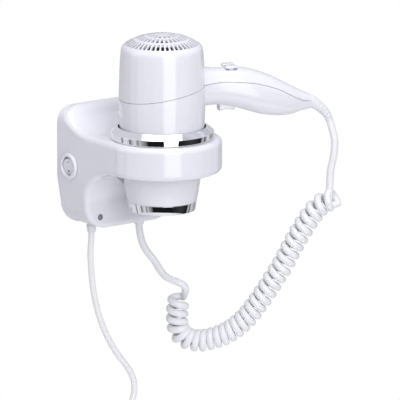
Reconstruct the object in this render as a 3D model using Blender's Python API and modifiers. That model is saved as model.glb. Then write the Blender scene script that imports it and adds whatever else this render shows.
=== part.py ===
"""Wall-mounted hair dryer: a wall base with a cup, a handset stored nose down in it,
a curly cord between the two and a mains cord. Metres, +Z up, wall plane at Y = 0,
the front of the object faces -Y. Origin: centre of the wall plate's back face."""

import math

import bmesh
import bpy
from mathutils import Matrix, Vector

# ---------------------------------------------------------------- driving sizes
GAP = 0.0003                 # clearance between pieces that touch
WALL = 0.0022                # moulded wall of every casing

BASE_HALF_WIDTH = 0.056      # half the width of the wall base
BASE_TOP = 0.055             # top of the base above the origin
BASE_BOTTOM = -0.0588        # underside of the base
PLATE_THICKNESS = 0.003      # wall plate
BASE_LIP = 0.008             # depth of the base at its top edge
BASE_FOOT_DEPTH = 0.041      # depth of the base at its underside
CUP_TOP = 0.0333             # flat rim around the cup
CUP_BOTTOM = 0.002           # underside of the cup
AXIS_OUT = 0.089             # handset axis from the wall

BARREL_RADIUS = 0.0403       # widest radius of the handset barrel
HANDSET_TOP = 0.131          # crown of the intake dome
NOZZLE_END = -0.026          # where the white nozzle ends
BAND_HEIGHT = 0.009          # chrome band on the nozzle tip
HANDLE_YAW = math.radians(-20.0)
HANDLE_END = 0.144           # handle's end, from the barrel axis
CUP_CLEARANCE = 0.0012       # handset to cup liner

RING_OVERHANG = 0.0081       # chrome ring, beyond the barrel radius
RING_RISE = 0.011            # chrome ring's inner lip above the cup rim
RING_RECESS = 0.0025         # level floor of the rim, beyond the plated ring
LINER_WALL = 0.0016
SWITCH_RADIUS = 0.0125       # round bezel of the rocker switch
SWITCH_Z = 0.0010            # height of the rocker switch's axis
SWITCH_DEPTH = 0.018         # distance of the rocker switch from the wall
ROCKER_TILT = math.radians(7.0)
LENS_RADIUS = 0.0032
LENS_RISE = 0.0120           # pilot lens above the underside

MOTOR_RADIUS = 0.0145
FAN_CLEARANCE = 0.0046       # blade tips to the casing
SHAFT_RADIUS = 0.0012

CORD_RADIUS = 0.0029
CURL_OUTER_RADIUS = 0.0107
MAINS_EXIT_X = -0.0307
CURLY_EXIT_X = 0.0247
CORD_EXIT_DEPTH = 0.020      # both cords leave the underside this far from the wall
GLAND_LENGTH = 0.006
COIL_RADIUS = 0.034          # middle of the mains coil's turns
COIL_BAND = 0.018            # coil's section, across its radius
COIL_THICKNESS = 0.0125      # coil's section, away from the wall
PIN_RADIUS = 0.0024
PIN_LENGTH = 0.019
PIN_SPACING = 0.019

TURN_STEPS = 36              # facets around a turned piece
SMALL_STEPS = 20

# Handle sections: distance from the barrel axis, top, underside, half width.
HANDLE_SECTIONS = [
    (0.028, 0.0995, 0.0600, 0.0170), (0.041, 0.0975, 0.0613, 0.0155),
    (0.050, 0.0960, 0.0615, 0.0150), (0.062, 0.0959, 0.0602, 0.0150),
    (0.073, 0.0955, 0.0572, 0.0155), (0.084, 0.0935, 0.0535, 0.0160),
    (0.095, 0.0900, 0.0500, 0.0160), (0.106, 0.0853, 0.0481, 0.0155),
    (0.116, 0.0800, 0.0473, 0.0140), (0.125, 0.0750, 0.0480, 0.0120),
    (0.134, 0.0702, 0.0505, 0.0092), (HANDLE_END, 0.0655, 0.0523, 0.0066),
]
# Parting line between the two housings: distance along the handle, height.
PARTING_LINE = [
    (-0.060, 0.0690), (-0.040, 0.0705), (-0.020, 0.0735), (0.000, 0.0770),
    (0.020, 0.0803), (0.040, 0.0834), (0.054, 0.0847), (0.069, 0.0839),
    (0.088, 0.0813), (0.102, 0.0772), (0.113, 0.0728), (0.121, 0.0683),
    (0.131, 0.0632), (0.139, 0.0606), (0.170, 0.0590),
]
# Strain relief: distance from the barrel axis, height, radius.
RELIEF_SECTIONS = [
    (HANDLE_END + GAP, 0.0588, 0.0060), (0.1500, 0.0553, 0.0055), (0.1560, 0.0505, 0.0049),
    (0.1606, 0.0450, 0.0043), (0.1634, 0.0390, 0.0038),
]
# Route of the curly cord, in the upright plane through its two exits:
# distance from the base exit, height. Chosen by hand.
CURL_AXIS = [
    (0.1600, -0.0530), (0.1504, -0.0716), (0.1425, -0.0863), (0.1356, -0.1003), (0.1278, -0.1131),
    (0.1198, -0.1261), (0.1119, -0.1379), (0.1039, -0.1490), (0.0948, -0.1586), (0.0846, -0.1663),
    (0.0733, -0.1717), (0.0608, -0.1751), (0.0482, -0.1747), (0.0395, -0.1692), (0.0363, -0.1603),
    (0.0360, -0.1479), (0.0375, -0.1359),
]
CURL_LEAD = [
    (0.0002, -0.0690), (0.0012, -0.0756), (0.0035, -0.0840), (0.0085, -0.0925), (0.0154, -0.1012),
    (0.0199, -0.1080), (0.0267, -0.1147), (0.0340, -0.1180), (0.0385, -0.1230), (0.0388, -0.1290),
]
CURL_TAIL = [
    (0.1836, 0.0236), (0.1842, 0.0144), (0.1828, 0.0026), (0.1805, -0.0084),
    (0.1797, -0.0220), (0.1760, -0.0340), (0.1690, -0.0420),
]
# Route of the mains cord at the depth of its exit: sideways place, height. Chosen by hand.
MAINS_ROUTE = [
    (-0.0310, -0.0730), (-0.0319, -0.0870), (-0.0301, -0.1111), (-0.0260, -0.1335),
    (-0.0190, -0.1545), (-0.0097, -0.1728), (0.0008, -0.1885), (0.0085, -0.1975),
    (0.0159, -0.2067), (0.0220, -0.2190), (0.0250, -0.2330),
]
MAINS_FREE_END = -0.2440     # where the mains cord runs into its coil
TAIL_DROP = 0.024            # free cord between the coil and the plug

# ---------------------------------------------------------------- set-up
for old in list(bpy.data.objects):
    bpy.data.objects.remove(old, do_unlink=True)

parts = bpy.data.collections.new("wall_hair_dryer")
cutters = bpy.data.collections.new("cutters")
bpy.context.scene.collection.children.link(parts)
bpy.context.scene.collection.children.link(cutters)

handset = bpy.data.objects.new("handset_axis", None)
handset.location = (0.0, -AXIS_OUT, 0.0)
handset.rotation_euler = (0.0, 0.0, HANDLE_YAW)
parts.objects.link(handset)


def finish(name, colour, roughness, metallic=0.0):
    """One Principled material for one piece."""
    mat = bpy.data.materials.new(name)
    mat.use_nodes = True
    shader = mat.node_tree.nodes["Principled BSDF"]
    shader.inputs["Base Color"].default_value = (*colour, 1.0)
    shader.inputs["Roughness"].default_value = roughness
    shader.inputs["Metallic"].default_value = metallic
    return mat


WHITE = ((0.86, 0.86, 0.90), 0.15)
CHROME = ((0.80, 0.81, 0.83), 0.06, 1.0)
STEEL = ((0.62, 0.62, 0.64), 0.30, 1.0)
BRASS = ((0.78, 0.60, 0.28), 0.30, 1.0)
BLACK = ((0.03, 0.03, 0.03), 0.45)
GREY = ((0.35, 0.35, 0.38), 0.35)
GREEN = ((0.05, 0.25, 0.12), 0.45)
MICA = ((0.62, 0.55, 0.42), 0.55)
CORD = ((0.82, 0.82, 0.86), 0.38)


def place(obj, look=None, parent=None, cutter=False):
    """Puts an object in its collection, with its finish, under its parent."""
    (cutters if cutter else parts).objects.link(obj)
    if parent:
        obj.parent = parent
    if cutter:
        obj.hide_render = True
        obj.display_type = "WIRE"
    elif look:
        obj.data.materials.clear()
        obj.data.materials.append(finish(obj.name, *look))
        obj.data.shade_smooth()
        obj.data.set_sharp_from_angle(angle=math.radians(35.0))
    return obj


def from_bmesh(name, shape, look=None, parent=None, cutter=False):
    mesh = bpy.data.meshes.new(name)
    shape.to_mesh(mesh)
    shape.free()
    return place(bpy.data.objects.new(name, mesh), look, parent, cutter)


def box(name, size, centre, look=None, parent=None, cutter=False, turn=0.0):
    """A block, turned about Z before it is moved to its centre."""
    shape = bmesh.new()
    bmesh.ops.create_cube(shape, size=1.0)
    bmesh.ops.scale(shape, vec=size, verts=shape.verts)
    bmesh.ops.rotate(shape, matrix=Matrix.Rotation(turn, 3, "Z"), verts=shape.verts)
    bmesh.ops.translate(shape, vec=centre, verts=shape.verts)
    return from_bmesh(name, shape, look, parent, cutter)


def rod(name, radius, start, end, look=None, parent=None, cutter=False, steps=SMALL_STEPS,
        end_radius=None):
    """A cylinder or a cone between two points."""
    start = Vector(start)
    axis = Vector(end) - start
    shape = bmesh.new()
    bmesh.ops.create_cone(
        shape, cap_ends=True, segments=steps, radius1=radius,
        radius2=radius if end_radius is None else end_radius, depth=axis.length)
    turn = Vector((0.0, 0.0, 1.0)).rotation_difference(axis).to_matrix()
    bmesh.ops.rotate(shape, matrix=turn, verts=shape.verts)
    bmesh.ops.translate(shape, vec=start + axis / 2.0, verts=shape.verts)
    return from_bmesh(name, shape, look, parent, cutter)


def turned(name, profile, look=None, parent=None, cutter=False, steps=TURN_STEPS, location=None):
    """Spins a profile of (radius, height) around Z. It runs down the outer side; one that
    starts off the axis is closed, and makes a ring."""
    ring = profile[0][0] > 0.0
    shape = bmesh.new()
    line = [shape.verts.new((radius, 0.0, height)) for radius, height in profile]
    for first, second in zip(line, line[1:]):
        shape.edges.new((first, second))
    if ring:
        shape.edges.new((line[-1], line[0]))
    obj = from_bmesh(name, shape, look, parent, cutter)
    spin = obj.modifiers.new("turn", "SCREW")
    spin.axis = "Z"
    spin.steps = steps
    spin.render_steps = steps
    spin.use_merge_vertices = True
    spin.merge_threshold = 0.00001
    spin.use_smooth_shade = True
    if location:
        obj.location = location
    return obj


def boolean(obj, other, operation="DIFFERENCE"):
    cut = obj.modifiers.new(operation.lower(), "BOOLEAN")
    cut.operation = operation
    cut.object = other
    cut.solver = "EXACT"
    return obj


def curve_to_mesh(curve):
    """Turns a curve into a welded mesh, so that it can be cut and can cut."""
    view = bpy.context.evaluated_depsgraph_get()
    view.update()
    mesh = bpy.data.meshes.new_from_object(curve.evaluated_get(view))
    shape = bmesh.new()
    shape.from_mesh(mesh)
    bmesh.ops.remove_doubles(shape, verts=shape.verts, dist=0.000005)
    bmesh.ops.recalc_face_normals(shape, faces=shape.faces)
    shape.to_mesh(mesh)
    shape.free()
    placed = curve.matrix_world.copy()
    name = curve.name
    bpy.data.objects.remove(curve, do_unlink=True)
    solid = bpy.data.objects.new(name, mesh)
    solid.matrix_world = placed
    return solid


def slab(name, outline, thickness, turn, centre, look=None, parent=None, cutter=False):
    """A flat closed outline with a thickness, turned and moved into place."""
    data = bpy.data.curves.new(name, "CURVE")
    data.dimensions = "2D"
    data.fill_mode = "BOTH"
    data.extrude = thickness / 2.0
    spline = data.splines.new("POLY")
    spline.points.add(len(outline) - 1)
    for point, (across, along) in zip(spline.points, outline):
        point.co = (across, along, 0.0, 1.0)
    spline.use_cyclic_u = True
    curve = bpy.data.objects.new(name, data)
    bpy.context.scene.collection.objects.link(curve)
    solid = curve_to_mesh(curve)
    solid.data.transform(Matrix.Translation(centre) @ turn.to_4x4())
    return place(solid, look, parent, cutter)


def smooth_path(points, spacing):
    """Even points on the smooth curve through the given ones."""
    route = [Vector(point) for point in points]
    route = [2 * route[0] - route[1]] + route + [2 * route[-1] - route[-2]]
    fine = []
    for before, start, end, after in zip(route, route[1:], route[2:], route[3:]):
        for step in range(12):
            t = step / 12.0
            fine.append(0.5 * (2 * start + (end - before) * t
                               + (2 * before - 5 * start + 4 * end - after) * t ** 2
                               + (3 * start - 3 * end + after - before) * t ** 3))
    fine.append(route[-2])
    lengths = [0.0]
    for start, end in zip(fine, fine[1:]):
        lengths.append(lengths[-1] + (end - start).length)
    count = max(2, round(lengths[-1] / spacing))
    even = []
    place_at = 0
    for step in range(count + 1):
        wanted = lengths[-1] * step / count
        while place_at < len(fine) - 2 and lengths[place_at + 1] < wanted:
            place_at += 1
        part = (wanted - lengths[place_at]) / (lengths[place_at + 1] - lengths[place_at])
        even.append(fine[place_at].lerp(fine[place_at + 1], min(1.0, part)))
    return even


def tube(name, points, radius, look, parent=None, resolution=2):
    """A round cord or wire along a path, with closed ends."""
    data = bpy.data.curves.new(name, "CURVE")
    data.dimensions = "3D"
    data.bevel_depth = radius
    data.bevel_resolution = resolution
    data.use_fill_caps = True
    spline = data.splines.new("POLY")
    spline.points.add(len(points) - 1)
    for point, place_at in zip(spline.points, points):
        point.co = (*place_at, 1.0)
    curve = bpy.data.objects.new(name, data)
    parts.objects.link(curve)
    if parent:
        curve.parent = parent
    curve.data.materials.append(finish(name, *look))
    return curve


def loft(name, rings, look=None, parent=None, cutter=False):
    """Skins a run of equal rings and closes both ends."""
    shape = bmesh.new()
    loops = [[shape.verts.new(point) for point in ring] for ring in rings]
    count = len(loops[0])
    for first, second in zip(loops, loops[1:]):
        for step in range(count):
            ahead = (step + 1) % count
            shape.faces.new((first[step], first[ahead], second[ahead], second[step]))
    shape.faces.new(reversed(loops[0]))
    shape.faces.new(loops[-1])
    bmesh.ops.recalc_face_normals(shape, faces=shape.faces)
    return from_bmesh(name, shape, look, parent, cutter)


def arc(centre, radius, start, end, steps):
    """Points on an arc, with its angles in degrees."""
    points = []
    for step in range(steps + 1):
        angle = math.radians(start + (end - start) * step / steps)
        points.append((centre[0] + radius * math.cos(angle), centre[1] + radius * math.sin(angle)))
    return points


def round_slots(name, rings, low, high, parent=None):
    """Radial slots: each ring is its inner radius, outer radius, slot width and count."""
    shape = bmesh.new()
    for inner, outer, width, count in rings:
        for step in range(count):
            made = bmesh.ops.create_cube(shape, size=1.0)["verts"]
            bmesh.ops.scale(shape, vec=(outer - inner, width, high - low), verts=made)
            bmesh.ops.translate(shape, vec=((outer + inner) / 2.0, 0.0, (high + low) / 2.0), verts=made)
            turn = Matrix.Rotation(2.0 * math.pi * (step + 0.5) / count, 3, "Z")
            bmesh.ops.rotate(shape, matrix=turn, verts=made)
    return from_bmesh(name, shape, parent=parent, cutter=True)


# ---------------------------------------------------------------- wall base
UPRIGHT = Matrix.Rotation(math.radians(90.0), 3, "X")      # outline (x, z) seen from the front
SIDEWAYS = Matrix(((0, 0, 1), (-1, 0, 0), (0, 1, 0)))      # outline (depth, z) seen from the side
TOP_CORNER = 0.016
BOTTOM_CORNER = 0.024
FOOT_TAPER = 0.004           # each side comes in by this much towards the underside
TAPER_FROM = SWITCH_Z - SWITCH_RADIUS


def front_outline(inset):
    """The base seen from the front: straight sides that draw in towards a round foot."""
    half = BASE_HALF_WIDTH - inset
    foot = half - FOOT_TAPER
    top = BASE_TOP - inset
    bottom = BASE_BOTTOM + inset
    upper = TOP_CORNER - inset
    lower = BOTTOM_CORNER - inset
    right = arc((foot - lower, bottom + lower), lower, -90.0, 0.0, 6)
    right += [(half, TAPER_FROM)]
    right += arc((half - upper, top - upper), upper, 0.0, 90.0, 5)
    return right + [(-across, height) for across, height in reversed(right)]


def side_outline(inset, back):
    """The base seen from the side: a swept top, the cup, and a scoop under the cup."""
    beyond = AXIS_OUT + BASE_HALF_WIDTH + 0.004
    top = BASE_TOP - inset
    rim = CUP_TOP - inset
    under = CUP_BOTTOM + inset
    bottom = BASE_BOTTOM + inset
    lip = BASE_LIP - inset
    foot = BASE_FOOT_DEPTH - inset
    sweep = smooth_path([
        (lip, top, 0.0), (lip + 0.005, BASE_TOP - 0.0035 - inset, 0.0),
        (lip + 0.011, BASE_TOP - 0.011 - inset, 0.0), (lip + 0.021, rim + 0.0055, 0.0),
        (lip + 0.034, rim + 0.0015, 0.0), (lip + 0.046, rim, 0.0)], 0.006)
    scoop = smooth_path([
        (foot + 0.050, under, 0.0), (foot + 0.034, under - 0.0015, 0.0),
        (foot + 0.020, under - 0.0065, 0.0), (foot + 0.009, under - 0.0160, 0.0),
        (foot + 0.002, under - 0.0280, 0.0), (foot, under - 0.0400, 0.0),
        (foot + 0.001, bottom, 0.0)], 0.006)
    outline = [(back, bottom), (back, top)] + [(point.x, point.y) for point in sweep]
    return outline + [(beyond, rim), (beyond, under)] + [(point.x, point.y) for point in scoop]


def plan_outline(inset, back):
    """The base seen from above: straight sides that end in the round cup."""
    radius = BASE_HALF_WIDTH - inset
    nose = arc((0.0, -AXIS_OUT), radius, 0.0, -180.0, 24)
    return [(-radius, back), (radius, back)] + nose


def base_block(name, inset, back, **options):
    """The base's outer form, or its hollow when it is inset by the wall."""
    width = 2.0 * BASE_HALF_WIDTH + 0.02
    depth = AXIS_OUT + BASE_HALF_WIDTH + 0.02
    height = BASE_TOP - BASE_BOTTOM + 0.02
    front = slab(name + "_front", front_outline(inset), 2.0 * depth, UPRIGHT, (0, 0, 0), cutter=True)
    plan = slab(name + "_plan", plan_outline(inset, -back), height, Matrix.Identity(3),
                (0, 0, 0), cutter=True)
    side = slab(name, side_outline(inset, back), width, SIDEWAYS, (0, 0, 0), **options)
    boolean(side, front, "INTERSECT")
    return boolean(side, plan, "INTERSECT")


cover_back = PLATE_THICKNESS + GAP
bore_reach = 0.08            # cutters run past the cup by this height each way
bore_radius = BARREL_RADIUS + CUP_CLEARANCE + LINER_WALL + GAP
cup_axis = (0.0, -AXIS_OUT)

base_cover = base_block("base_cover", 0.0, cover_back, look=WHITE)
hollow = base_block("cover_hollow", WALL, -0.002, cutter=True)
boolean(hollow, rod("cover_bore_wall", bore_radius + WALL, (*cup_axis, bore_reach),
                    (*cup_axis, -bore_reach), cutter=True, steps=TURN_STEPS))
boolean(base_cover, hollow)
boolean(base_cover, rod("cover_bore", bore_radius, (*cup_axis, bore_reach),
                        (*cup_axis, -bore_reach), cutter=True, steps=TURN_STEPS))

# The swept top is cut back to a level floor around the plated ring.
ring_outer = BARREL_RADIUS + RING_OVERHANG
boolean(base_cover, rod("ring_recess", ring_outer + RING_RECESS, (*cup_axis, CUP_TOP),
                        (*cup_axis, bore_reach), cutter=True, steps=TURN_STEPS))

switch_centre = Vector((-BASE_HALF_WIDTH, -SWITCH_DEPTH - 0.002, SWITCH_Z))
bezel_neck = SWITCH_RADIUS - 0.0022
boolean(base_cover, rod("switch_hole", bezel_neck + GAP, switch_centre + Vector((-0.01, 0, 0)),
                        switch_centre + Vector((0.01, 0, 0)), cutter=True))

# The pilot lens sits low on the left of the scoop.
lens_at = Vector((-0.036, -BASE_FOOT_DEPTH, BASE_BOTTOM + LENS_RISE))
boolean(base_cover, rod("lens_hole", LENS_RADIUS - 0.0005 + GAP, lens_at + Vector((0, 0.01, 0)),
                        lens_at - Vector((0, 0.01, 0)), cutter=True, steps=16))

through = 0.01               # cutters for holes in the wall start this far outside it
gland_neck = CORD_RADIUS + 0.0014
mains_exit = Vector((MAINS_EXIT_X, -CORD_EXIT_DEPTH, BASE_BOTTOM))
curly_exit = Vector((CURLY_EXIT_X, -CORD_EXIT_DEPTH, BASE_BOTTOM))
for label, exit_at in (("mains", mains_exit), ("curly", curly_exit)):
    boolean(base_cover, rod(label + "_exit_hole", gland_neck + GAP, exit_at - Vector((0, 0, through)),
                            exit_at + Vector((0, 0, through)), cutter=True))
screw_at = Vector((-0.003, -0.012, BASE_BOTTOM))
screw_hole = 0.0016
boolean(base_cover, rod("screw_hole", screw_hole + GAP, screw_at - Vector((0, 0, through)),
                        screw_at + Vector((0, 0, through)), cutter=True, steps=16))

# Wall plate: the base's own outline, with a boss for the cover screw.
plate_inset = 0.0004
wall_plate = slab("wall_plate", front_outline(plate_inset), PLATE_THICKNESS, UPRIGHT,
                  (0.0, -PLATE_THICKNESS / 2.0, 0.0), look=WHITE)
boss = Vector((0.010, 0.016, 0.014))
boss_low = BASE_BOTTOM + WALL + 0.0006
boss_sunk = 0.001            # the boss runs this far into the plate, so that they are one piece
boolean(wall_plate, box("screw_boss", boss, (screw_at.x, boss_sunk - PLATE_THICKNESS - boss.y / 2.0,
                                             boss_low + boss.z / 2.0), cutter=True), "UNION")
shank_length = 0.0145
boolean(wall_plate, rod("boss_hole", 0.0014, screw_at, screw_at + Vector((0, 0, shank_length + 0.001)),
                        cutter=True, steps=12))
for across, height in ((-0.034, 0.036), (0.034, 0.036), (0.0, -0.030)):
    boolean(wall_plate, rod("wall_screw_hole", 0.0023, (across, through, height),
                            (across, -through, height), cutter=True, steps=16))
screw = turned("cover_screw", [
    (0.0, 0.0), (0.0030, 0.0), (0.0028, -0.0012), (0.0, -0.0016)],
    look=STEEL, steps=16, location=(screw_at.x, screw_at.y, BASE_BOTTOM - GAP))
shank = rod("screw_shank", 0.0011, (0, 0, -0.0008), (0, 0, shank_length), cutter=True, steps=12)
shank.location = screw.location
boolean(screw, shank, "UNION")

# Cup: plated ring on the rim, smooth liner in the bore, rubber seat under it.
ring_inner = BARREL_RADIUS + CUP_CLEARANCE - 0.0005
ring_top = CUP_TOP + RING_RISE
turned("cup_ring", [
    (ring_inner + 0.0010, ring_top), (ring_outer - 0.0012, ring_top - 0.0046),
    (ring_outer, ring_top - 0.0060), (ring_outer, CUP_TOP + 0.0012),
    (ring_outer - 0.0008, CUP_TOP + GAP), (ring_inner, CUP_TOP + GAP),
    (ring_inner, ring_top - 0.0010)], look=CHROME, location=(*cup_axis, 0.0))
liner_outer = bore_radius - GAP
liner_top = liner_outer - LINER_WALL
liner_low = liner_top - 0.0030
turned("cup_liner", [
    (liner_outer, CUP_TOP), (liner_outer, CUP_BOTTOM), (liner_low, CUP_BOTTOM),
    (liner_low, CUP_BOTTOM + 0.004), (liner_top, CUP_TOP)], look=WHITE, location=(*cup_axis, 0.0))

# Rocker switch on the left side.
side_turn = Matrix.Rotation(math.radians(-90.0), 4, "Y")
bezel_face = 0.0030
bezel_depth = 0.0060
window = 0.0088
bezel = turned("switch_bezel", [
    (SWITCH_RADIUS - 0.0016, bezel_face), (SWITCH_RADIUS - 0.0004, bezel_face - 0.0007),
    (SWITCH_RADIUS, GAP), (bezel_neck, GAP), (bezel_neck, -bezel_depth), (window, -bezel_depth),
    (window, bezel_face - 0.0008), (window + 0.0008, bezel_face)], look=WHITE, steps=32)
bezel.matrix_world = Matrix.Translation(switch_centre) @ side_turn
switch_back = 0.0210
rod("switch_body", bezel_neck - 0.0004, switch_centre + Vector((bezel_depth + 0.0004, 0, 0)),
    switch_centre + Vector((switch_back, 0, 0)), look=BLACK)
tab_length = 0.007
for step in range(3):
    box("switch_tab_%d" % (step + 1), (tab_length, 0.0008, 0.0040),
        switch_centre + Vector((switch_back + GAP + tab_length / 2.0, 0.0, 0.0055 * (step - 1))), look=BRASS)

# The rocker: a round key that tilts about a level axis, off side pressed in.
rocker_axis = switch_centre + Vector((0.0030, 0.0, 0.0))
rocker_pivot = bpy.data.objects.new("rocker_pivot", None)
rocker_pivot.location = rocker_axis
rocker_pivot.rotation_euler = (0.0, -ROCKER_TILT, 0.0)
parts.objects.link(rocker_pivot)
rocker_radius = window - 0.0008
rod("power_rocker", rocker_radius, (0.0, 0.0, 0.0), (-0.0048, 0.0, 0.0), look=WHITE,
    parent=rocker_pivot, end_radius=rocker_radius - 0.0004)

# Pilot lamp and its lens.
rod("pilot_lens", LENS_RADIUS - 0.0005, lens_at + Vector((0, 0.0030, 0)), lens_at - Vector((0, 0.0009, 0)),
    look=GREY, steps=16)
rod("pilot_lamp", 0.0022, lens_at + Vector((0, 0.0140, 0)), lens_at + Vector((0, 0.0034, 0)),
    look=((0.75, 0.30, 0.20), 0.2), steps=16)

# Inside the base: circuit board on the plate, terminal block, suppressor, cord clamps.
board_y = -PLATE_THICKNESS - 0.006
board_thickness = 0.0016
board_front = board_y - board_thickness / 2.0 - GAP
box("base_board", (0.062, board_thickness, 0.040), (0.006, board_y, 0.010), look=GREEN)
for step, (across, height) in enumerate(((-0.020, 0.025), (0.032, 0.025), (0.006, -0.006))):
    rod("board_post_%d" % (step + 1), 0.0025, (across, -PLATE_THICKNESS - GAP, height),
        (across, board_y + board_thickness / 2.0 + GAP, height), look=WHITE, steps=12)
block = Vector((0.030, 0.010, 0.012))
box("terminal_block", block, (0.004, board_front - block.y / 2.0, -0.002), look=GREY)
capacitor = Vector((0.018, 0.009, 0.013))
box("suppressor", capacitor, (0.020, board_front - capacitor.y / 2.0, 0.018), look=BLACK)
clamp = Vector((0.020, 0.006, 0.007))
for label, exit_at in (("mains", mains_exit), ("curly", curly_exit)):
    box(label + "_clamp", clamp, (exit_at.x, -PLATE_THICKNESS - GAP - clamp.y / 2.0, BASE_BOTTOM + 0.016),
        look=GREY)
    turned(label + "_gland", [
        (0.0, WALL + 0.003), (gland_neck, WALL + 0.003), (gland_neck, -GAP), (gland_neck + 0.0012, -GAP),
        (gland_neck + 0.0010, -0.0014), (CORD_RADIUS + 0.0009, -GLAND_LENGTH), (0.0, -GLAND_LENGTH)],
        look=CORD, steps=SMALL_STEPS, location=exit_at)

# ---------------------------------------------------------------- handset casings
dome_radius = BARREL_RADIUS - 0.0041
dome_edge = HANDSET_TOP - 0.0138     # where the dome meets the barrel's side
barrel_profile = [
    (0.0, HANDSET_TOP), (dome_radius * 0.33, HANDSET_TOP - 0.0007),
    (dome_radius * 0.635, HANDSET_TOP - 0.0032),
    (dome_radius * 0.884, HANDSET_TOP - 0.0078), (dome_radius, HANDSET_TOP - 0.0110),
    (BARREL_RADIUS - 0.0025, dome_edge), (BARREL_RADIUS - 0.0009, HANDSET_TOP - 0.031),
    (BARREL_RADIUS, 0.078), (BARREL_RADIUS, 0.062), (BARREL_RADIUS - 0.0008, 0.042),
    (BARREL_RADIUS - 0.0022, 0.020), (BARREL_RADIUS - 0.0040, -0.002),
    (BARREL_RADIUS - 0.0060, NOZZLE_END + 0.010), (BARREL_RADIUS - 0.0078, NOZZLE_END),
    (0.0, NOZZLE_END),
]
nozzle_radius = BARREL_RADIUS - 0.0078


def hollow_profile(profile, wall):
    """The same profile inside the wall, running out through the nozzle."""
    inner = [(0.0, profile[0][1] - wall)]
    for radius, height in profile[1:-1]:
        dome = max(0.0, min(1.0, (height - dome_edge) / 0.006))
        inner.append((radius - wall * (1.0 - 0.5 * dome), height - wall * dome))
    low = NOZZLE_END - 0.02
    return inner + [(inner[-1][0], low), (0.0, low)]


def handle_rings(wall, first, last):
    """Cross-sections of the handle, squarer than an ellipse."""
    rings = []
    for out, top, under, half in HANDLE_SECTIONS:
        out = max(first, min(last, out))
        middle = (top + under) / 2.0
        tall = (top - under) / 2.0 - wall
        wide = half - wall
        ring = []
        for step in range(SMALL_STEPS):
            angle = 2.0 * math.pi * step / SMALL_STEPS
            across = math.copysign(abs(math.cos(angle)) ** 0.85, math.cos(angle))
            upward = math.copysign(abs(math.sin(angle)) ** 0.85, math.sin(angle))
            ring.append(Vector((out, wide * across, middle + tall * upward)))
        rings.append(ring)
    return rings


def handset_shell(name):
    """The whole handset casing, before it is parted."""
    shell = turned(name, barrel_profile, look=WHITE, parent=handset)
    grip = loft(name + "_grip", handle_rings(0.0, 0.0, HANDLE_END), parent=handset, cutter=True)
    boolean(shell, grip, "UNION")
    inner = turned(name + "_hollow", hollow_profile(barrel_profile, WALL), parent=handset, cutter=True)
    rings = handle_rings(WALL, 0.0, HANDLE_END)
    rings.append([point + Vector((0.004, 0.0, 0.0)) for point in rings[-1]])
    grip_inner = loft(name + "_grip_hollow", rings, parent=handset, cutter=True)
    boolean(inner, grip_inner, "UNION")
    return boolean(shell, inner)


parting = [(point.x, point.y) for point in smooth_path([(*pair, 0.0) for pair in PARTING_LINE], 0.006)]
seam = GAP / 2.0
far = 0.20
parting_width = 0.12
above = [(across, height - seam) for across, height in parting]
above += [(parting[-1][0], far), (parting[0][0], far)]
below = [(across, height + seam) for across, height in parting]
below += [(parting[-1][0], -far), (parting[0][0], -far)]

rear_housing = handset_shell("rear_housing")
boolean(rear_housing, slab("below_parting", below, parting_width, UPRIGHT, (0, 0, 0), parent=handset,
                           cutter=True))
intake_rings = [
    (dome_radius * inner, dome_radius * outer, width, count)
    for inner, outer, width, count in (
        (0.76, 0.925, 0.0022, 30), (0.483, 0.622, 0.0020, 20), (0.235, 0.345, 0.0018, 10))
]
boolean(rear_housing, round_slots("intake_slots", intake_rings, HANDSET_TOP - 0.025, HANDSET_TOP + 0.005,
                                  parent=handset))

front_housing = handset_shell("front_housing")
boolean(front_housing, slab("above_parting", above, parting_width, UPRIGHT, (0, 0, 0), parent=handset,
                            cutter=True))

# Openings for the two slide keys on the handle and the push key under it.
KEY_OUT = 0.0655
KEY_LENGTH = 0.0120
KEY_WIDTH = 0.0062
KEY_SIDE = 0.0055
KEY_TRAVEL = 0.0040
key_seat = 0.0958
TRIGGER_OUT = 0.0620
TRIGGER_LENGTH = 0.0150
TRIGGER_WIDTH = 0.0100
trigger_seat = 0.0600
for label, side in (("near", -KEY_SIDE), ("far", KEY_SIDE)):
    boolean(rear_housing, box(label + "_key_slot", (KEY_LENGTH * 0.5 + KEY_TRAVEL, 0.0030, 0.02),
                              (KEY_OUT, side, key_seat), parent=handset, cutter=True))
boolean(front_housing, box("trigger_hole", (TRIGGER_LENGTH + 0.0012, TRIGGER_WIDTH + 0.0012, 0.02),
                           (TRIGGER_OUT, 0.0, trigger_seat - 0.004), parent=handset, cutter=True))

# Plated band on the nozzle tip, with a spigot that plugs into the nozzle.
band_top = NOZZLE_END - GAP
band_end = NOZZLE_END - BAND_HEIGHT
spigot = nozzle_radius - WALL - GAP
spigot_bore = spigot - 0.0016
turned("nozzle_band", [
    (nozzle_radius - 0.0002, band_top), (nozzle_radius - 0.0011, band_end + 0.0006),
    (nozzle_radius - 0.0017, band_end), (spigot_bore, band_end), (spigot_bore, band_top + 0.004),
    (spigot, band_top + 0.004), (spigot, band_top)], look=CHROME, parent=handset)
outlet = rod("outlet_grille", spigot_bore - GAP, (0, 0, band_end + 0.0135), (0, 0, band_end + 0.0110),
             look=GREY, parent=handset, steps=TURN_STEPS)
boolean(outlet, round_slots("outlet_slots", [(0.0185, 0.0265, 0.0042, 20), (0.0070, 0.0160, 0.0034, 10)],
                            band_end, band_end + 0.03, parent=handset))

# ---------------------------------------------------------------- handset works
fan_low = 0.0925
fan_high = 0.1045
motor_top = 0.0880
motor_low = 0.0580
mica_top = 0.0500
mica_low = -0.0180

filter_radius = BARREL_RADIUS - 0.0025 - WALL - 0.0012
rod("intake_filter", filter_radius, (0, 0, HANDSET_TOP - 0.0160), (0, 0, HANDSET_TOP - 0.0168), look=BLACK,
    parent=handset, steps=TURN_STEPS)

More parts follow.
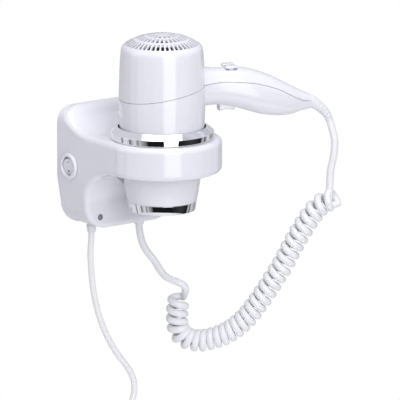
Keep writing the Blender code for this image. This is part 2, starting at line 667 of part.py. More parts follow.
fan_radius = BARREL_RADIUS - WALL - FAN_CLEARANCE
fan = turned("fan_rotor", [
    (SHAFT_RADIUS + GAP, fan_high), (0.0080, fan_high), (0.0110, fan_high - 0.003), (0.0115, fan_low),
    (SHAFT_RADIUS + GAP, fan_low)], look=BLACK, parent=handset, steps=SMALL_STEPS)
blades = bmesh.new()
FAN_BLADES = 7
blade_root = 0.0095
for step in range(FAN_BLADES):
    made = bmesh.ops.create_cube(blades, size=1.0)["verts"]
    bmesh.ops.scale(blades, vec=(fan_radius - blade_root, 0.0012, 0.0140), verts=made)
    bmesh.ops.rotate(blades, matrix=Matrix.Rotation(math.radians(50.0), 3, "X"), verts=made)
    middle = ((fan_radius + blade_root) / 2.0, 0.0, (fan_low + fan_high) / 2.0)
    bmesh.ops.translate(blades, vec=middle, verts=made)
    bmesh.ops.rotate(blades, matrix=Matrix.Rotation(2.0 * math.pi * step / FAN_BLADES, 3, "Z"), verts=made)
boolean(fan, from_bmesh("fan_blades", blades, parent=handset, cutter=True), "UNION")
rod("motor_shaft", SHAFT_RADIUS, (0, 0, motor_low - 0.004), (0, 0, fan_high + 0.0015), look=STEEL,
    parent=handset, steps=12)

bearing_bore = SHAFT_RADIUS + 0.0004
turned("motor_can", [
    (bearing_bore, motor_top), (0.0040, motor_top), (0.0042, motor_top - 0.0020),
    (MOTOR_RADIUS - 0.001, motor_top - 0.0022), (MOTOR_RADIUS, motor_top - 0.0035),
    (MOTOR_RADIUS, motor_low + 0.0030), (bearing_bore, motor_low + 0.0030)],
    look=STEEL, parent=handset, steps=SMALL_STEPS)
turned("motor_end_cap", [
    (MOTOR_RADIUS - 0.0008, motor_low + 0.0030 - GAP), (MOTOR_RADIUS - 0.0008, motor_low + 0.0012),
    (0.0050, motor_low), (bearing_bore, motor_low), (bearing_bore, motor_low + 0.0030 - GAP)],
    look=BLACK, parent=handset, steps=SMALL_STEPS)

# Motor carrier: an outer ring and a collar around the motor, joined by guide vanes.
carrier_radius = BARREL_RADIUS - WALL - 0.0010
carrier_top = 0.0830
carrier_low = 0.0640
carrier_bore = carrier_radius - 0.0015
collar_radius = MOTOR_RADIUS + 0.0018
carrier = turned("motor_carrier", [
    (carrier_radius, carrier_top), (carrier_radius, carrier_low), (carrier_bore, carrier_low),
    (carrier_bore, carrier_top)], look=BLACK, parent=handset)
collar = turned("carrier_collar", [
    (collar_radius, carrier_top), (collar_radius, carrier_low),
    (MOTOR_RADIUS + GAP, carrier_low), (MOTOR_RADIUS + GAP, carrier_top)], parent=handset, cutter=True,
    steps=SMALL_STEPS)
vanes = bmesh.new()
VANE_COUNT = 6
vane_from = collar_radius - 0.0006
vane_to = carrier_bore + 0.0007
for step in range(VANE_COUNT):
    made = bmesh.ops.create_cube(vanes, size=1.0)["verts"]
    bmesh.ops.scale(vanes, vec=(vane_to - vane_from, 0.0014, 0.0140), verts=made)
    bmesh.ops.rotate(vanes, matrix=Matrix.Rotation(math.radians(-18.0), 3, "X"), verts=made)
    middle = ((vane_to + vane_from) / 2.0, 0.0, (carrier_top + carrier_low) / 2.0)
    bmesh.ops.translate(vanes, vec=middle, verts=made)
    turn = Matrix.Rotation(2.0 * math.pi * (step + 0.5) / VANE_COUNT, 3, "Z")
    bmesh.ops.rotate(vanes, matrix=turn, verts=made)
boolean(carrier, collar, "UNION")
boolean(carrier, from_bmesh("guide_vanes", vanes, parent=handset, cutter=True), "UNION")

# Heater: mica sleeve, two crossed mica boards, one winding, a cut-out on the board.
sleeve_radius = nozzle_radius - WALL - 0.0014
board_half = sleeve_radius - 0.0084
winding_radius = sleeve_radius - 0.0061
sleeve_bore = sleeve_radius - 0.0006
turned("heater_sleeve", [
    (sleeve_radius, mica_top), (sleeve_radius, mica_low), (sleeve_bore, mica_low),
    (sleeve_bore, mica_top)], look=MICA, parent=handset)
half_slot = (mica_top + mica_low) / 2.0
board_height = mica_top - mica_low - 0.006
mica_thickness = 0.0008
slot_width = mica_thickness + 2.0 * GAP
for label, turn, slot_from in (("one", 0.0, 1.0), ("two", 90.0, -1.0)):
    board = box("heater_board_" + label, (2.0 * board_half, mica_thickness, board_height), (0, 0, half_slot),
                look=MICA, parent=handset, turn=math.radians(turn))
    cut_middle = half_slot + slot_from * (board_height / 2.0 - GAP)
    boolean(board, box("board_slot_" + label, (slot_width, slot_width, board_height), (0, 0, cut_middle),
                       parent=handset, cutter=True))
heater_turns = 4
heater_steps = 12
winding = []
for step in range(heater_turns * heater_steps + 1):
    angle = 2.0 * math.pi * step / heater_steps
    height = mica_low + 0.008 + (board_height - 0.014) * step / (heater_turns * heater_steps)
    winding.append((winding_radius * math.cos(angle), winding_radius * math.sin(angle), height))
tube("heater_winding", winding, 0.0009, STEEL, parent=handset, resolution=1)
cutout_radius = 0.0050
cutout_x = cutout_radius + 0.0020
cutout_z = half_slot + 0.012
rod("thermal_cutout", cutout_radius, (cutout_x, 0.0022, cutout_z), (cutout_x, 0.0072, cutout_z),
    look=STEEL, parent=handset, steps=16)

# ---------------------------------------------------------------- handle pieces
key_height = 0.0026
key_switch_height = 0.0060
key_switch_top = key_seat - 0.0058
handle_board_z = key_seat - 0.0127
for label, side in (("heat", -KEY_SIDE), ("speed", KEY_SIDE)):
    key = box(label + "_key", (KEY_LENGTH, KEY_WIDTH, key_height),
              (KEY_OUT, side, key_seat + GAP + key_height / 2.0), look=WHITE, parent=handset)
    stem = box(label + "_stem", (KEY_LENGTH * 0.5 - 0.001, 0.0022, 0.0060),
               (KEY_OUT, side, key_seat - 0.0024), parent=handset, cutter=True)
    boolean(key, stem, "UNION")
    box(label + "_switch", (0.0150, 0.0070, key_switch_height),
        (KEY_OUT, side * 0.75, key_switch_top - key_switch_height / 2.0), look=BLACK, parent=handset)
box("handle_board", (0.030, 0.0180, 0.0012), (KEY_OUT + 0.002, 0.0, handle_board_z), look=GREEN,
    parent=handset)

trigger_top = 0.0664
trigger_height = 0.0114
trigger = box("cool_key", (TRIGGER_LENGTH, TRIGGER_WIDTH, trigger_height),
              (TRIGGER_OUT, 0.0, trigger_top - trigger_height / 2.0), look=WHITE, parent=handset)
flange = box("cool_key_flange", (TRIGGER_LENGTH + 0.0050, TRIGGER_WIDTH + 0.0028, 0.0012),
             (TRIGGER_OUT, 0.0, trigger_top + 0.0004), parent=handset, cutter=True)
boolean(trigger, flange, "UNION")
cool_top = trigger_top + 0.0010
cool_switch = Vector((0.0130, 0.0060, 0.0060))
switch_low = handle_board_z - 0.0013 - cool_switch.z
box("cool_switch", cool_switch, (TRIGGER_OUT, 0.0, switch_low + cool_switch.z / 2.0), look=BLACK,
    parent=handset)
spring_low = cool_top + GAP + 0.0004
spring_high = switch_low - GAP - 0.0004
spring_turns = 3
spring_steps = 8
spring_radius = 0.0026
coil = []
for step in range(spring_turns * spring_steps + 1):
    angle = 2.0 * math.pi * step / spring_steps
    height = spring_low + (spring_high - spring_low) * step / (spring_turns * spring_steps)
    coil.append((TRIGGER_OUT + spring_radius * math.cos(angle), spring_radius * math.sin(angle), height))
tube("key_spring", coil, 0.0003, STEEL, parent=handset, resolution=1)

relief = smooth_path([(out, 0.0, height) for out, height, radius in RELIEF_SECTIONS], 0.0035)
relief_steps = 16
rings = []
for step, centre in enumerate(relief):
    ahead = relief[min(step + 1, len(relief) - 1)] - relief[max(step - 1, 0)]
    share = step / (len(relief) - 1)
    radius = RELIEF_SECTIONS[0][2] + (RELIEF_SECTIONS[-1][2] - RELIEF_SECTIONS[0][2]) * share ** 1.2
    if step == 0:
        ahead = Vector((1.0, 0.0, 0.0))
    upward = Vector((0.0, 1.0, 0.0)).cross(ahead).normalized()
    ring = []
    for side in range(relief_steps):
        angle = 2.0 * math.pi * side / relief_steps
        ring.append(centre + radius * (math.cos(angle) * Vector((0.0, 1.0, 0.0)) + math.sin(angle) * upward))
    rings.append(ring)
loft("strain_relief", rings, look=CORD, parent=handset)
tube("handle_loom", smooth_path([
    (0.041, 0.0040, 0.078), (0.062, 0.0092, 0.072), (0.085, 0.006, 0.067), (0.110, 0.0, 0.064),
    (0.130, 0.0, 0.0605), (HANDLE_END - 0.001, 0.0, 0.0590)], 0.006), 0.0018, BLACK, parent=handset,
    resolution=1)

# ---------------------------------------------------------------- curly cord
relief_end = Matrix.Translation(handset.location) @ Matrix.Rotation(HANDLE_YAW, 4, "Z") @ relief[-1]
curl_run = Vector((relief_end.x - curly_exit.x, relief_end.y - curly_exit.y, 0.0)).normalized()


def in_curl_plane(pair):
    """A point of the upright plane that holds the curly cord."""
    along, height = pair
    return Vector((curly_exit.x, curly_exit.y, 0.0)) + along * curl_run + Vector((0.0, 0.0, height))


cord_start = curly_exit - Vector((0, 0, GLAND_LENGTH + GAP))
curl_points = smooth_path([in_curl_plane(pair) for pair in CURL_AXIS], 0.0085)
tube("curly_coil", curl_points, CURL_OUTER_RADIUS, CORD)
lead = [cord_start] + [in_curl_plane(pair) for pair in CURL_LEAD]
lead_end = curl_points[-1] + (curl_points[-1] - curl_points[-2]).normalized() * GAP * 2.0
tube("curly_lead", smooth_path(lead + [lead_end], 0.008), CORD_RADIUS, CORD)
relief_out = (relief[-1] - relief[-2]).normalized()
relief_out = Matrix.Rotation(HANDLE_YAW, 3, "Z") @ relief_out
tail_start = relief_end + relief_out * GAP
tail_end = curl_points[0] + (curl_points[0] - curl_points[1]).normalized() * GAP * 2.0
tail = [tail_start, tail_start + relief_out * 0.0065] + [in_curl_plane(pair) for pair in CURL_TAIL]
tube("curly_tail", smooth_path(tail + [tail_end], 0.0062), CORD_RADIUS, CORD)

# ---------------------------------------------------------------- mains cord
mains_start = mains_exit - Vector((0, 0, GLAND_LENGTH + GAP))
mains_y = mains_exit.y
coil_outer = COIL_RADIUS + COIL_BAND / 2.0
coil_x = MAINS_ROUTE[-1][0]
coil_centre = Vector((coil_x, mains_y, MAINS_FREE_END - GAP - coil_outer))
route = [mains_start] + [Vector((across, mains_y, height)) for across, height in MAINS_ROUTE]
route.append(Vector((coil_x, mains_y, MAINS_FREE_END)))
tube("mains_cord", smooth_path(route, 0.008), CORD_RADIUS, CORD)
coil_inner = COIL_RADIUS - COIL_BAND / 2.0
half_coil = COIL_THICKNESS / 2.0
corner = 0.003
mains_coil = turned("mains_coil", [
    (coil_outer - corner, half_coil), (coil_outer, half_coil - corner), (coil_outer, corner - half_coil),
    (coil_outer - corner, -half_coil), (coil_inner + corner, -half_coil), (coil_inner, corner - half_coil),
    (coil_inner, half_coil - corner), (coil_inner + corner, half_coil)], look=CORD, steps=32)
mains_coil.matrix_world = Matrix.Translation(coil_centre) @ Matrix.Rotation(math.radians(90.0), 4, "X")

tie_room = 0.0008
tie_wall = 0.0012
tie_at = coil_centre + Vector((-COIL_RADIUS, 0.0, 0.0))
tie_hole = Vector((COIL_BAND + 2.0 * tie_room, COIL_THICKNESS + 2.0 * tie_room, 0.02))
tie = box("coil_tie", (tie_hole.x + 2.0 * tie_wall, tie_hole.y + 2.0 * tie_wall, 0.006), tie_at, look=WHITE)
boolean(tie, box("tie_hole", tie_hole, tie_at, cutter=True))

# Plug: a two-pin body that hangs on a short tail under the coil.
tail_top = coil_centre - Vector((0.0, 0.0, coil_outer + GAP))
plug_top = tail_top - Vector((0.0, 0.0, TAIL_DROP))
tube("mains_tail", [tail_top, tail_top.lerp(plug_top, 0.33), tail_top.lerp(plug_top, 0.66), plug_top],
     CORD_RADIUS, CORD)
relief_length = 0.020
rod("plug_relief", CORD_RADIUS + 0.0028, plug_top - Vector((0, 0, relief_length + GAP)),
    plug_top - Vector((0, 0, GAP)), look=CORD, steps=SMALL_STEPS, end_radius=CORD_RADIUS + 0.0008)
PLUG_LENGTH = 0.030
PLUG_HALF_WIDTH = 0.0170
PLUG_HALF_THICKNESS = 0.0070
plug_high = plug_top.z - relief_length - 2.0 * GAP
plug_rings = []
for share, wide in ((0.0, 0.38), (0.12, 0.62), (0.35, 0.88), (0.60, 1.0), (1.0, 0.98)):
    ring = []
    for step in range(SMALL_STEPS):
        angle = 2.0 * math.pi * step / SMALL_STEPS
        across = math.copysign(abs(math.cos(angle)) ** 0.6, math.cos(angle))
        outward = math.copysign(abs(math.sin(angle)) ** 0.6, math.sin(angle))
        thick = PLUG_HALF_THICKNESS * (0.86 + 0.14 * share)
        ring.append(Vector((coil_centre.x + PLUG_HALF_WIDTH * wide * across,
                            coil_centre.y + thick * outward, plug_high - PLUG_LENGTH * share)))
    plug_rings.append(ring)
loft("plug_body", plug_rings, look=CORD)
pin_height = plug_high - PLUG_LENGTH - GAP
for step, side in enumerate((-1.0, 1.0)):
    pin_top = Vector((coil_centre.x + side * PIN_SPACING / 2.0, coil_centre.y, pin_height))
    rod("plug_pin_%d" % (step + 1), PIN_RADIUS - 0.0006, pin_top - Vector((0, 0, PIN_LENGTH)), pin_top,
        look=BRASS, steps=16, end_radius=PIN_RADIUS)
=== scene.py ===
"""Wall-mounted hair dryer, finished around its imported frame."""
import math

import bmesh
import bpy
from mathutils import Matrix, Vector


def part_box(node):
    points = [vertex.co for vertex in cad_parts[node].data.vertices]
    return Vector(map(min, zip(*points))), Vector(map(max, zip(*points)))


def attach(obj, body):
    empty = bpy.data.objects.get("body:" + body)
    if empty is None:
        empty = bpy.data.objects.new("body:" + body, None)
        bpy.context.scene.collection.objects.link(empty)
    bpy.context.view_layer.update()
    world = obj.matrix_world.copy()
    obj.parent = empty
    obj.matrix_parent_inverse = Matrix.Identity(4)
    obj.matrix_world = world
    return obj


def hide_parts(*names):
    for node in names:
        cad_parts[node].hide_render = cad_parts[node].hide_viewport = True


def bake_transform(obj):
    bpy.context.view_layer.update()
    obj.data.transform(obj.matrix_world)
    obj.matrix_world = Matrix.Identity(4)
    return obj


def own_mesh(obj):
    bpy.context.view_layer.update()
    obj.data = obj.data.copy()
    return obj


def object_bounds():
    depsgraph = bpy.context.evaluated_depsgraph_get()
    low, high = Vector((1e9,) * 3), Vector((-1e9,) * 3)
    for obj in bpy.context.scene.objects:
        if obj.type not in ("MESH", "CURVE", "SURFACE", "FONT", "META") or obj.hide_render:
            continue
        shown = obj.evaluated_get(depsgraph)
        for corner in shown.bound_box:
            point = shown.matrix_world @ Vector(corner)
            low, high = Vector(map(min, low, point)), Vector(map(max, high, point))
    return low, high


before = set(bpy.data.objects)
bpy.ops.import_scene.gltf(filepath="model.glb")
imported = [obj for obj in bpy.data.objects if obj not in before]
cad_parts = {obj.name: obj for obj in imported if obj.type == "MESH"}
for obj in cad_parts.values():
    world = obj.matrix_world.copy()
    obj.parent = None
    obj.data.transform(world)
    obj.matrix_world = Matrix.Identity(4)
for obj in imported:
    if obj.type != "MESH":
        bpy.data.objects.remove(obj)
cad_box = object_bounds()

# ------------------------------------------------------------------ camera
# A long lens on a stand in front and to the left, a little above the cup, as for a
# catalogue picture. It is aimed a little right of the cup's axis and below its rim.
view_turn = math.radians(-37.0)
view_rise = math.radians(12.5)
camera_right = Vector((math.cos(view_turn), math.sin(view_turn), 0.0))
camera_back = Vector((math.sin(view_turn) * math.cos(view_rise),
                      -math.cos(view_turn) * math.cos(view_rise), math.sin(view_rise)))
camera_up = camera_back.cross(camera_right)
ring_low, ring_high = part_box("cup_ring")
cup_axis = Vector(((ring_low.x + ring_high.x) / 2.0, (ring_low.y + ring_high.y) / 2.0, 0.0))
picture_width = 0.372
camera_distance = 12.0
aim = cup_axis + camera_right * 0.0353 - camera_up * 0.0260
camera = bpy.data.objects.new("camera", bpy.data.cameras.new("camera"))
bpy.context.scene.collection.objects.link(camera)
camera.data.sensor_width = 36.0
camera.data.lens = camera.data.sensor_width * camera_distance / picture_width
camera.data.clip_end = 50.0
camera.location = aim + camera_back * camera_distance
camera.rotation_euler = camera_back.to_track_quat("Z", "Y").to_euler()
bpy.context.scene.camera = camera

# ------------------------------------------------------------------ curly cord
# White PVC flex, wound hot on a rod so that it springs back into close turns. One end is
# held in the base's gland, the other in the handset's strain relief.


class Wire:
    """A node's output socket, which takes part in sums."""

    def __init__(self, nodes, socket):
        self.nodes = nodes
        self.socket = socket

    def combine(self, operation, other):
        return self.nodes.node("ShaderNodeMath", {"operation": operation}, {0: self, 1: other})

    def __add__(self, other):
        return self.combine("ADD", other)

    def __radd__(self, other):
        return self + other

    def __mul__(self, other):
        return self.combine("MULTIPLY", other)

    def __rmul__(self, other):
        return self * other

    def __getitem__(self, name):
        return Wire(self.nodes, self.socket.node.outputs[name])


class Nodes:
    """A node tree that is being filled."""

    def __init__(self, tree):
        self.tree = tree

    def node(self, kind, settings, inputs):
        """Makes a node, with its settings first, then its sockets' values or links."""
        made = self.tree.nodes.new(kind)
        for name, value in settings.items():
            if name == "stops":
                ramp = made.color_ramp.elements
                while len(ramp) < len(value):
                    ramp.new(0.5)
                for stop, (at, shade) in zip(ramp, value):
                    stop.position = at
                    stop.color = (*shade, 1.0)
            else:
                setattr(made, name, value)
        for name, value in inputs.items():
            if isinstance(value, Wire):
                self.tree.links.new(value.socket, made.inputs[name])
            else:
                made.inputs[name].default_value = value
        return Wire(self, next(out for out in made.outputs if out.enabled))

    def mix(self, share, first, second):
        """A colour between two, by a share from 0 to 1."""
        made = self.tree.nodes.new("ShaderNodeMix")
        made.data_type = "RGBA"
        self.tree.links.new(share.socket, made.inputs[0])
        for index, colour in ((6, first), (7, second)):
            if isinstance(colour, Wire):
                self.tree.links.new(colour.socket, made.inputs[index])
            else:
                made.inputs[index].default_value = (*colour, 1.0)
        return Wire(self, made.outputs[2])


class Finish(Nodes):
    """One material: its Principled shader, and the nodes that vary it."""

    def __init__(self, name, colour, roughness, metallic=0.0, **settings):
        self.material = bpy.data.materials.new(name)
        self.material.use_nodes = True
        super().__init__(self.material.node_tree)
        self.shader = self.tree.nodes["Principled BSDF"]
        self.shader.inputs["Base Color"].default_value = (*colour, 1.0)
        self.shader.inputs["Roughness"].default_value = roughness
        self.shader.inputs["Metallic"].default_value = metallic
        for socket, value in settings.items():
            self.shader.inputs[socket.replace("_", " ")].default_value = value
        self.place = self.node("ShaderNodeTexCoord", {}, {})["Object"]

    def noise(self, scale, detail=2.0, roughness=0.5, stretch=(1.0, 1.0, 1.0)):
        """Soft blotches; scale is in blotches per metre."""
        place = self.place
        if stretch != (1.0, 1.0, 1.0):
            place = self.node("ShaderNodeMapping", {}, {"Vector": place, "Scale": stretch})
        return self.node("ShaderNodeTexNoise", {}, {"Vector": place, "Scale": scale, "Detail": detail,
                                                    "Roughness": roughness})

    def feed(self, socket, value):
        self.tree.links.new(value.socket, self.shader.inputs[socket])
        return self

    def relief(self, height, depth):
        """Bumps the surface by a height pattern; depth in metres."""
        bump = self.node("ShaderNodeBump", {}, {"Height": height, "Distance": depth, "Strength": 1.0})
        return self.feed("Normal", bump)


def gloss(name, colour, roughness, tint=0.03, wave=0.00002, **settings):
    """Moulded plastic: a faint drift of shade, handling haze and the mould's slow waviness."""
    finish = Finish(name, colour, roughness, **settings)
    drift = finish.noise(9.0, 3.0)
    darker = tuple(part * (1.0 - tint) for part in colour)
    finish.feed("Base Color", finish.mix(drift, darker, colour))
    haze = finish.noise(60.0, 4.0, 0.6)
    finish.feed("Roughness", haze * (roughness * 0.5) + roughness * 0.75)
    return finish.relief(finish.noise(30.0, 1.0), wave)


def smooth_path(points, spacing, pieces=12):
    """Even points on the smooth curve through the given ones."""
    route = [Vector(point) for point in points]
    route = [2 * route[0] - route[1]] + route + [2 * route[-1] - route[-2]]
    fine = []
    for before, start, end, after in zip(route, route[1:], route[2:], route[3:]):
        for step in range(pieces):
            t = step / pieces
            fine.append(0.5 * (2 * start + (end - before) * t
                               + (2 * before - 5 * start + 4 * end - after) * t ** 2
                               + (3 * start - 3 * end + after - before) * t ** 3))
    fine.append(route[-2])
    lengths = [0.0]
    for start, end in zip(fine, fine[1:]):
        lengths.append(lengths[-1] + (end - start).length)
    count = max(2, round(lengths[-1] / spacing))
    even = []
    reached = 0
    for step in range(count + 1):
        wanted = lengths[-1] * step / count
        while reached < len(fine) - 2 and lengths[reached + 1] < wanted:
            reached += 1
        part = (wanted - lengths[reached]) / (lengths[reached + 1] - lengths[reached])
        even.append(fine[reached].lerp(fine[reached + 1], min(1.0, part)))
    return even


def length_of(points):
    return sum((end - start).length for start, end in zip(points, points[1:]))


def add_piece(name, mesh, material, body, replaced=()):
    """Names a finished mesh, gives it its material and seats it on its body."""
    piece = bpy.data.objects.new(name, mesh)
    bpy.context.scene.collection.objects.link(piece)
    mesh.materials.clear()
    mesh.materials.append(material.material)
    if body:
        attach(piece, body)
    if replaced:
        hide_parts(*replaced)
    return piece


def flex(name, points, radius, roundness=6, swell=None):
    """The mesh of a round flex along its centreline, with closed ends; swell scales each point."""
    data = bpy.data.curves.new(name, "CURVE")
    data.dimensions = "3D"
    data.bevel_depth = radius
    data.bevel_resolution = roundness
    data.use_fill_caps = True
    spline = data.splines.new("POLY")
    spline.points.add(len(points) - 1)
    for index, (point, at) in enumerate(zip(spline.points, points)):
        point.co = (*at, 1.0)
        point.radius = swell[index] if swell else 1.0
    carrier = bpy.data.objects.new(name, data)
    bpy.context.scene.collection.objects.link(carrier)
    view = bpy.context.evaluated_depsgraph_get()
    mesh = bpy.data.meshes.new_from_object(carrier.evaluated_get(view))
    bpy.data.objects.remove(carrier, do_unlink=True)
    shape = bmesh.new()
    shape.from_mesh(mesh)
    bmesh.ops.remove_doubles(shape, verts=shape.verts, dist=0.00001)
    bmesh.ops.recalc_face_normals(shape, faces=shape.faces)
    shape.to_mesh(mesh)
    shape.free()
    mesh.name = name
    mesh.shade_smooth()
    mesh.set_sharp_from_angle(angle=math.radians(50.0))
    return mesh


flex_radius = 0.0029
curly_radius = 0.0034
white_flex = gloss("white_flex", (0.86, 0.86, 0.89), 0.30, tint=0.04, wave=0.00003)
curly_low, curly_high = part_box("curly_gland")
curly_exit = Vector(((curly_low.x + curly_high.x) / 2.0, (curly_low.y + curly_high.y) / 2.0, curly_low.z))
handle_turn = math.radians(-20.0)
boot_reach, boot_drop = 0.1634, 0.0390
relief_tip = cup_axis + Vector((math.cos(handle_turn), math.sin(handle_turn), 0.0)) * boot_reach
relief_tip.z = boot_drop
curl_run = (relief_tip - curly_exit) * Vector((1.0, 1.0, 0.0))
curl_run.normalize()
curl_side = Vector((curl_run.y, -curl_run.x, 0.0))


def in_curl_plane(along, height, aside=0.0):
    """A point by its place along the upright plane of the curly cord."""
    level = Vector((curly_exit.x, curly_exit.y, height))
    return level + along * curl_run + aside * curl_side


# The axis of the turns, from the handset's end to the base's end.
curl_axis = smooth_path([in_curl_plane(*pair) for pair in (
    (0.1850, -0.0352), (0.1785, -0.0376), (0.1692, -0.0437), (0.1604, -0.0552),
    (0.1504, -0.0716), (0.1425, -0.0863), (0.1356, -0.1003), (0.1278, -0.1131),
    (0.1198, -0.1261), (0.1119, -0.1379), (0.1039, -0.1490), (0.0948, -0.1586), (0.0846, -0.1663),
    (0.0733, -0.1717), (0.0608, -0.1751), (0.0482, -0.1747), (0.0395, -0.1692), (0.0363, -0.1603),
    (0.0360, -0.1479), (0.0378, -0.1345))], 0.0004)
curl_outside = 0.0107
curl_radius = curl_outside - curly_radius
curl_start = math.radians(-150.0)
steps_per_turn = 20
# Pitch of the turns by share of the axis: drawn open at both ends, close in the sag.
pitch_stops = ((0.0, 0.0098), (0.08, 0.0090), (0.45, 0.0086), (0.58, 0.0076), (0.66, 0.0070),
               (0.80, 0.0070), (0.90, 0.0082), (1.0, 0.0088))


def level_of(route, along):
    """The second number at a distance along a route of pairs."""
    for (low, first), (high, second) in zip(route, route[1:]):
        if along <= high:
            return first + (second - first) * max(0.0, (along - low) / (high - low))
    return route[-1][1]


turns_at = [0.0]
for step in range(len(curl_axis) - 1):
    turns_at.append(turns_at[-1] + 1.0 / level_of(pitch_stops, step / (len(curl_axis) - 1)))
# The last turn is left a quarter way round, where the cord leads off to the base.
curl_turns = round(length_of(curl_axis) * turns_at[-1] / (len(curl_axis) - 1)) + 0.25
turns_at = [turn * curl_turns / turns_at[-1] for turn in turns_at]
helix = []
reached = 0
for step in range(round(curl_turns * steps_per_turn) + 1):
    turn = step / steps_per_turn
    while reached < len(turns_at) - 2 and turns_at[reached + 1] < turn:
        reached += 1
    part = min(1.0, (turn - turns_at[reached]) / (turns_at[reached + 1] - turns_at[reached]))
    centre = curl_axis[reached].lerp(curl_axis[reached + 1], part)
    ahead, behind = min(reached + 8, len(curl_axis) - 1), max(reached - 8, 0)
    inward = (curl_axis[ahead] - curl_axis[behind]).normalized().cross(curl_side).normalized()
    angle = curl_start + 2.0 * math.pi * turn
    helix.append(centre + curl_radius * (math.cos(angle) * inward + math.sin(angle) * curl_side))

# The straight leads, as (along, height, aside): from the handset to the turns, and on to the base.
handset_lead = [in_curl_plane(*place) for place in (
    (0.1836, 0.0236), (0.1842, 0.0144), (0.1828, 0.0026), (0.1805, -0.0084), (0.1797, -0.0220),
    (0.1793, -0.0330, 0.0010), (0.1795, -0.0415, 0.0012))]
base_lead = [in_curl_plane(*place) for place in (
    (0.0440, -0.1235, 0.0040), (0.0375, -0.1188, 0.0055), (0.0267, -0.1147, 0.0040),
    (0.0199, -0.1080, 0.0020), (0.0154, -0.1012), (0.0085, -0.0925), (0.0035, -0.0840),
    (0.0012, -0.0756), (0.0002, -0.0690))]
curly_path = smooth_path([relief_tip] + handset_lead + helix + base_lead + [curly_exit], 0.0024)
curly = add_piece("curly_cord", flex("curly_cord", curly_path, curly_radius), white_flex, None,
                  ("curly_lead", "curly_coil", "curly_tail"))
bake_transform(curly)
round(length_of(curly_path), 2)

# ------------------------------------------------------------------ mains cord
# A thinner white PVC flex, from the base's other gland to a moulded plug. What isn't in use is
# wound in two layers of three turns and tied.
mains_low, mains_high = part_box("mains_gland")
mains_exit = Vector(((mains_low.x + mains_high.x) / 2.0, (mains_low.y + mains_high.y) / 2.0, mains_low.z))
mains_route = [(-0.0310, -0.0730), (-0.0319, -0.0870), (-0.0301, -0.1111), (-0.0260, -0.1335),
               (-0.0190, -0.1545), (-0.0097, -0.1728), (0.0008, -0.1885), (0.0085, -0.1975),
               (0.0155, -0.2080), (0.0190, -0.2190), (0.0175, -0.2310), (0.0105, -0.2420)]
coil_low, coil_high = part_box("mains_coil")
coil_centre = (coil_low + coil_high) / 2.0
clearance = 0.0003
layer_turns = 3.0
outer_turn = (coil_high.x - coil_low.x) / 2.0 - flex_radius - clearance
inner_turn = outer_turn - layer_turns * 2.0 * flex_radius * 1.02 + 2.0 * flex_radius
layer_out = flex_radius * 1.03
joins_at, leaves_at = math.radians(135.0), math.radians(225.0)
steps_per_layer = 72
changes_at = 0.96
coil_points = []
for layer, (first, last) in enumerate(((outer_turn, inner_turn), (inner_turn, outer_turn))):
    start = joins_at + layer * layer_turns * 2.0 * math.pi
    sweep = layer_turns * 2.0 * math.pi + layer * (leaves_at - joins_at)
    for step in range(steps_per_layer + 1 - layer):
        share = (step + layer) / steps_per_layer
        angle = start + sweep * share
        radius = first + (last - first) * share
        # The cord changes layer over the last eighth of a turn of the first one.
        change = max(0.0, min(1.0, (share - changes_at) / (1.0 - changes_at))) if not layer else 1.0
        depth = layer_out * (1.0 - 2.0 * change)
        spoke = Vector((radius * math.cos(angle), depth, radius * math.sin(angle)))
        coil_points.append(coil_centre + spoke)
relief_low, relief_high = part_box("plug_relief")
plug_entry = Vector(((relief_low.x + relief_high.x) / 2.0, (relief_low.y + relief_high.y) / 2.0,
                     relief_high.z))
tail_points = [plug_entry + Vector(step) for step in (
    (-0.0090, -0.0015, 0.0165), (-0.0015, 0.0, 0.0070), (0.0, 0.0, -0.0020))]
hanging_points = [Vector((across, mains_exit.y, height)) for across, height in mains_route]
mains_path = smooth_path([mains_exit] + hanging_points + coil_points + tail_points, 0.0035)
mains = add_piece("mains_cord_flex", flex("mains_cord_flex", mains_path, flex_radius), white_flex, "root",
                  ("mains_cord", "mains_coil", "mains_tail"))

# ------------------------------------------------------------------ base cover
# Gloss white ABS, moulded in one piece: the upright box on the wall, the swept shelf and the
# round cup. It slides down over the wall plate and one screw from below holds it.


def blend_step(value, low, high):
    """0 below low, 1 above high, and smooth between."""
    share = max(0.0, min(1.0, (value - low) / (high - low)))
    return share * share * (3.0 - 2.0 * share)


def settled(piece):
    """The mesh of an object as its modifiers leave it, with its place in it."""
    view = bpy.context.evaluated_depsgraph_get()
    mesh = bpy.data.meshes.new_from_object(piece.evaluated_get(view))
    mesh.transform(piece.matrix_world)
    return mesh


def scratch(mesh):
    """An object for work in hand."""
    piece = bpy.data.objects.new("work", mesh)
    bpy.context.scene.collection.objects.link(piece)
    return piece


def discard(piece):
    bpy.data.objects.remove(piece, do_unlink=True)


def cut(mesh, *tools, operation="DIFFERENCE"):
    """A mesh with others cut from it or joined to it."""
    work = scratch(mesh)
    for tool in tools:
        cutter = scratch(tool)
        step = work.modifiers.new("cut", "BOOLEAN")
        step.operation = operation
        step.object = cutter
        bpy.context.view_layer.update()
        work.data = settled(work)
        work.modifiers.clear()
        discard(cutter)
    made = work.data
    discard(work)
    return made


def mesh_of(name, shape):
    """Closes a bmesh into a mesh."""
    mesh = bpy.data.meshes.new(name)
    shape.to_mesh(mesh)
    shape.free()
    return mesh


def joined(name, *meshes):
    """Several meshes as one."""
    shape = bmesh.new()
    for mesh in meshes:
        shape.from_mesh(mesh)
    return mesh_of(name, shape)


def made_verts(made):
    """The vertices among what an operator made."""
    return [item for item in made["geom"] if isinstance(item, bmesh.types.BMVert)]


def smoothed(mesh, angle=35.0):
    mesh.shade_smooth()
    mesh.set_sharp_from_angle(angle=math.radians(angle))
    return mesh


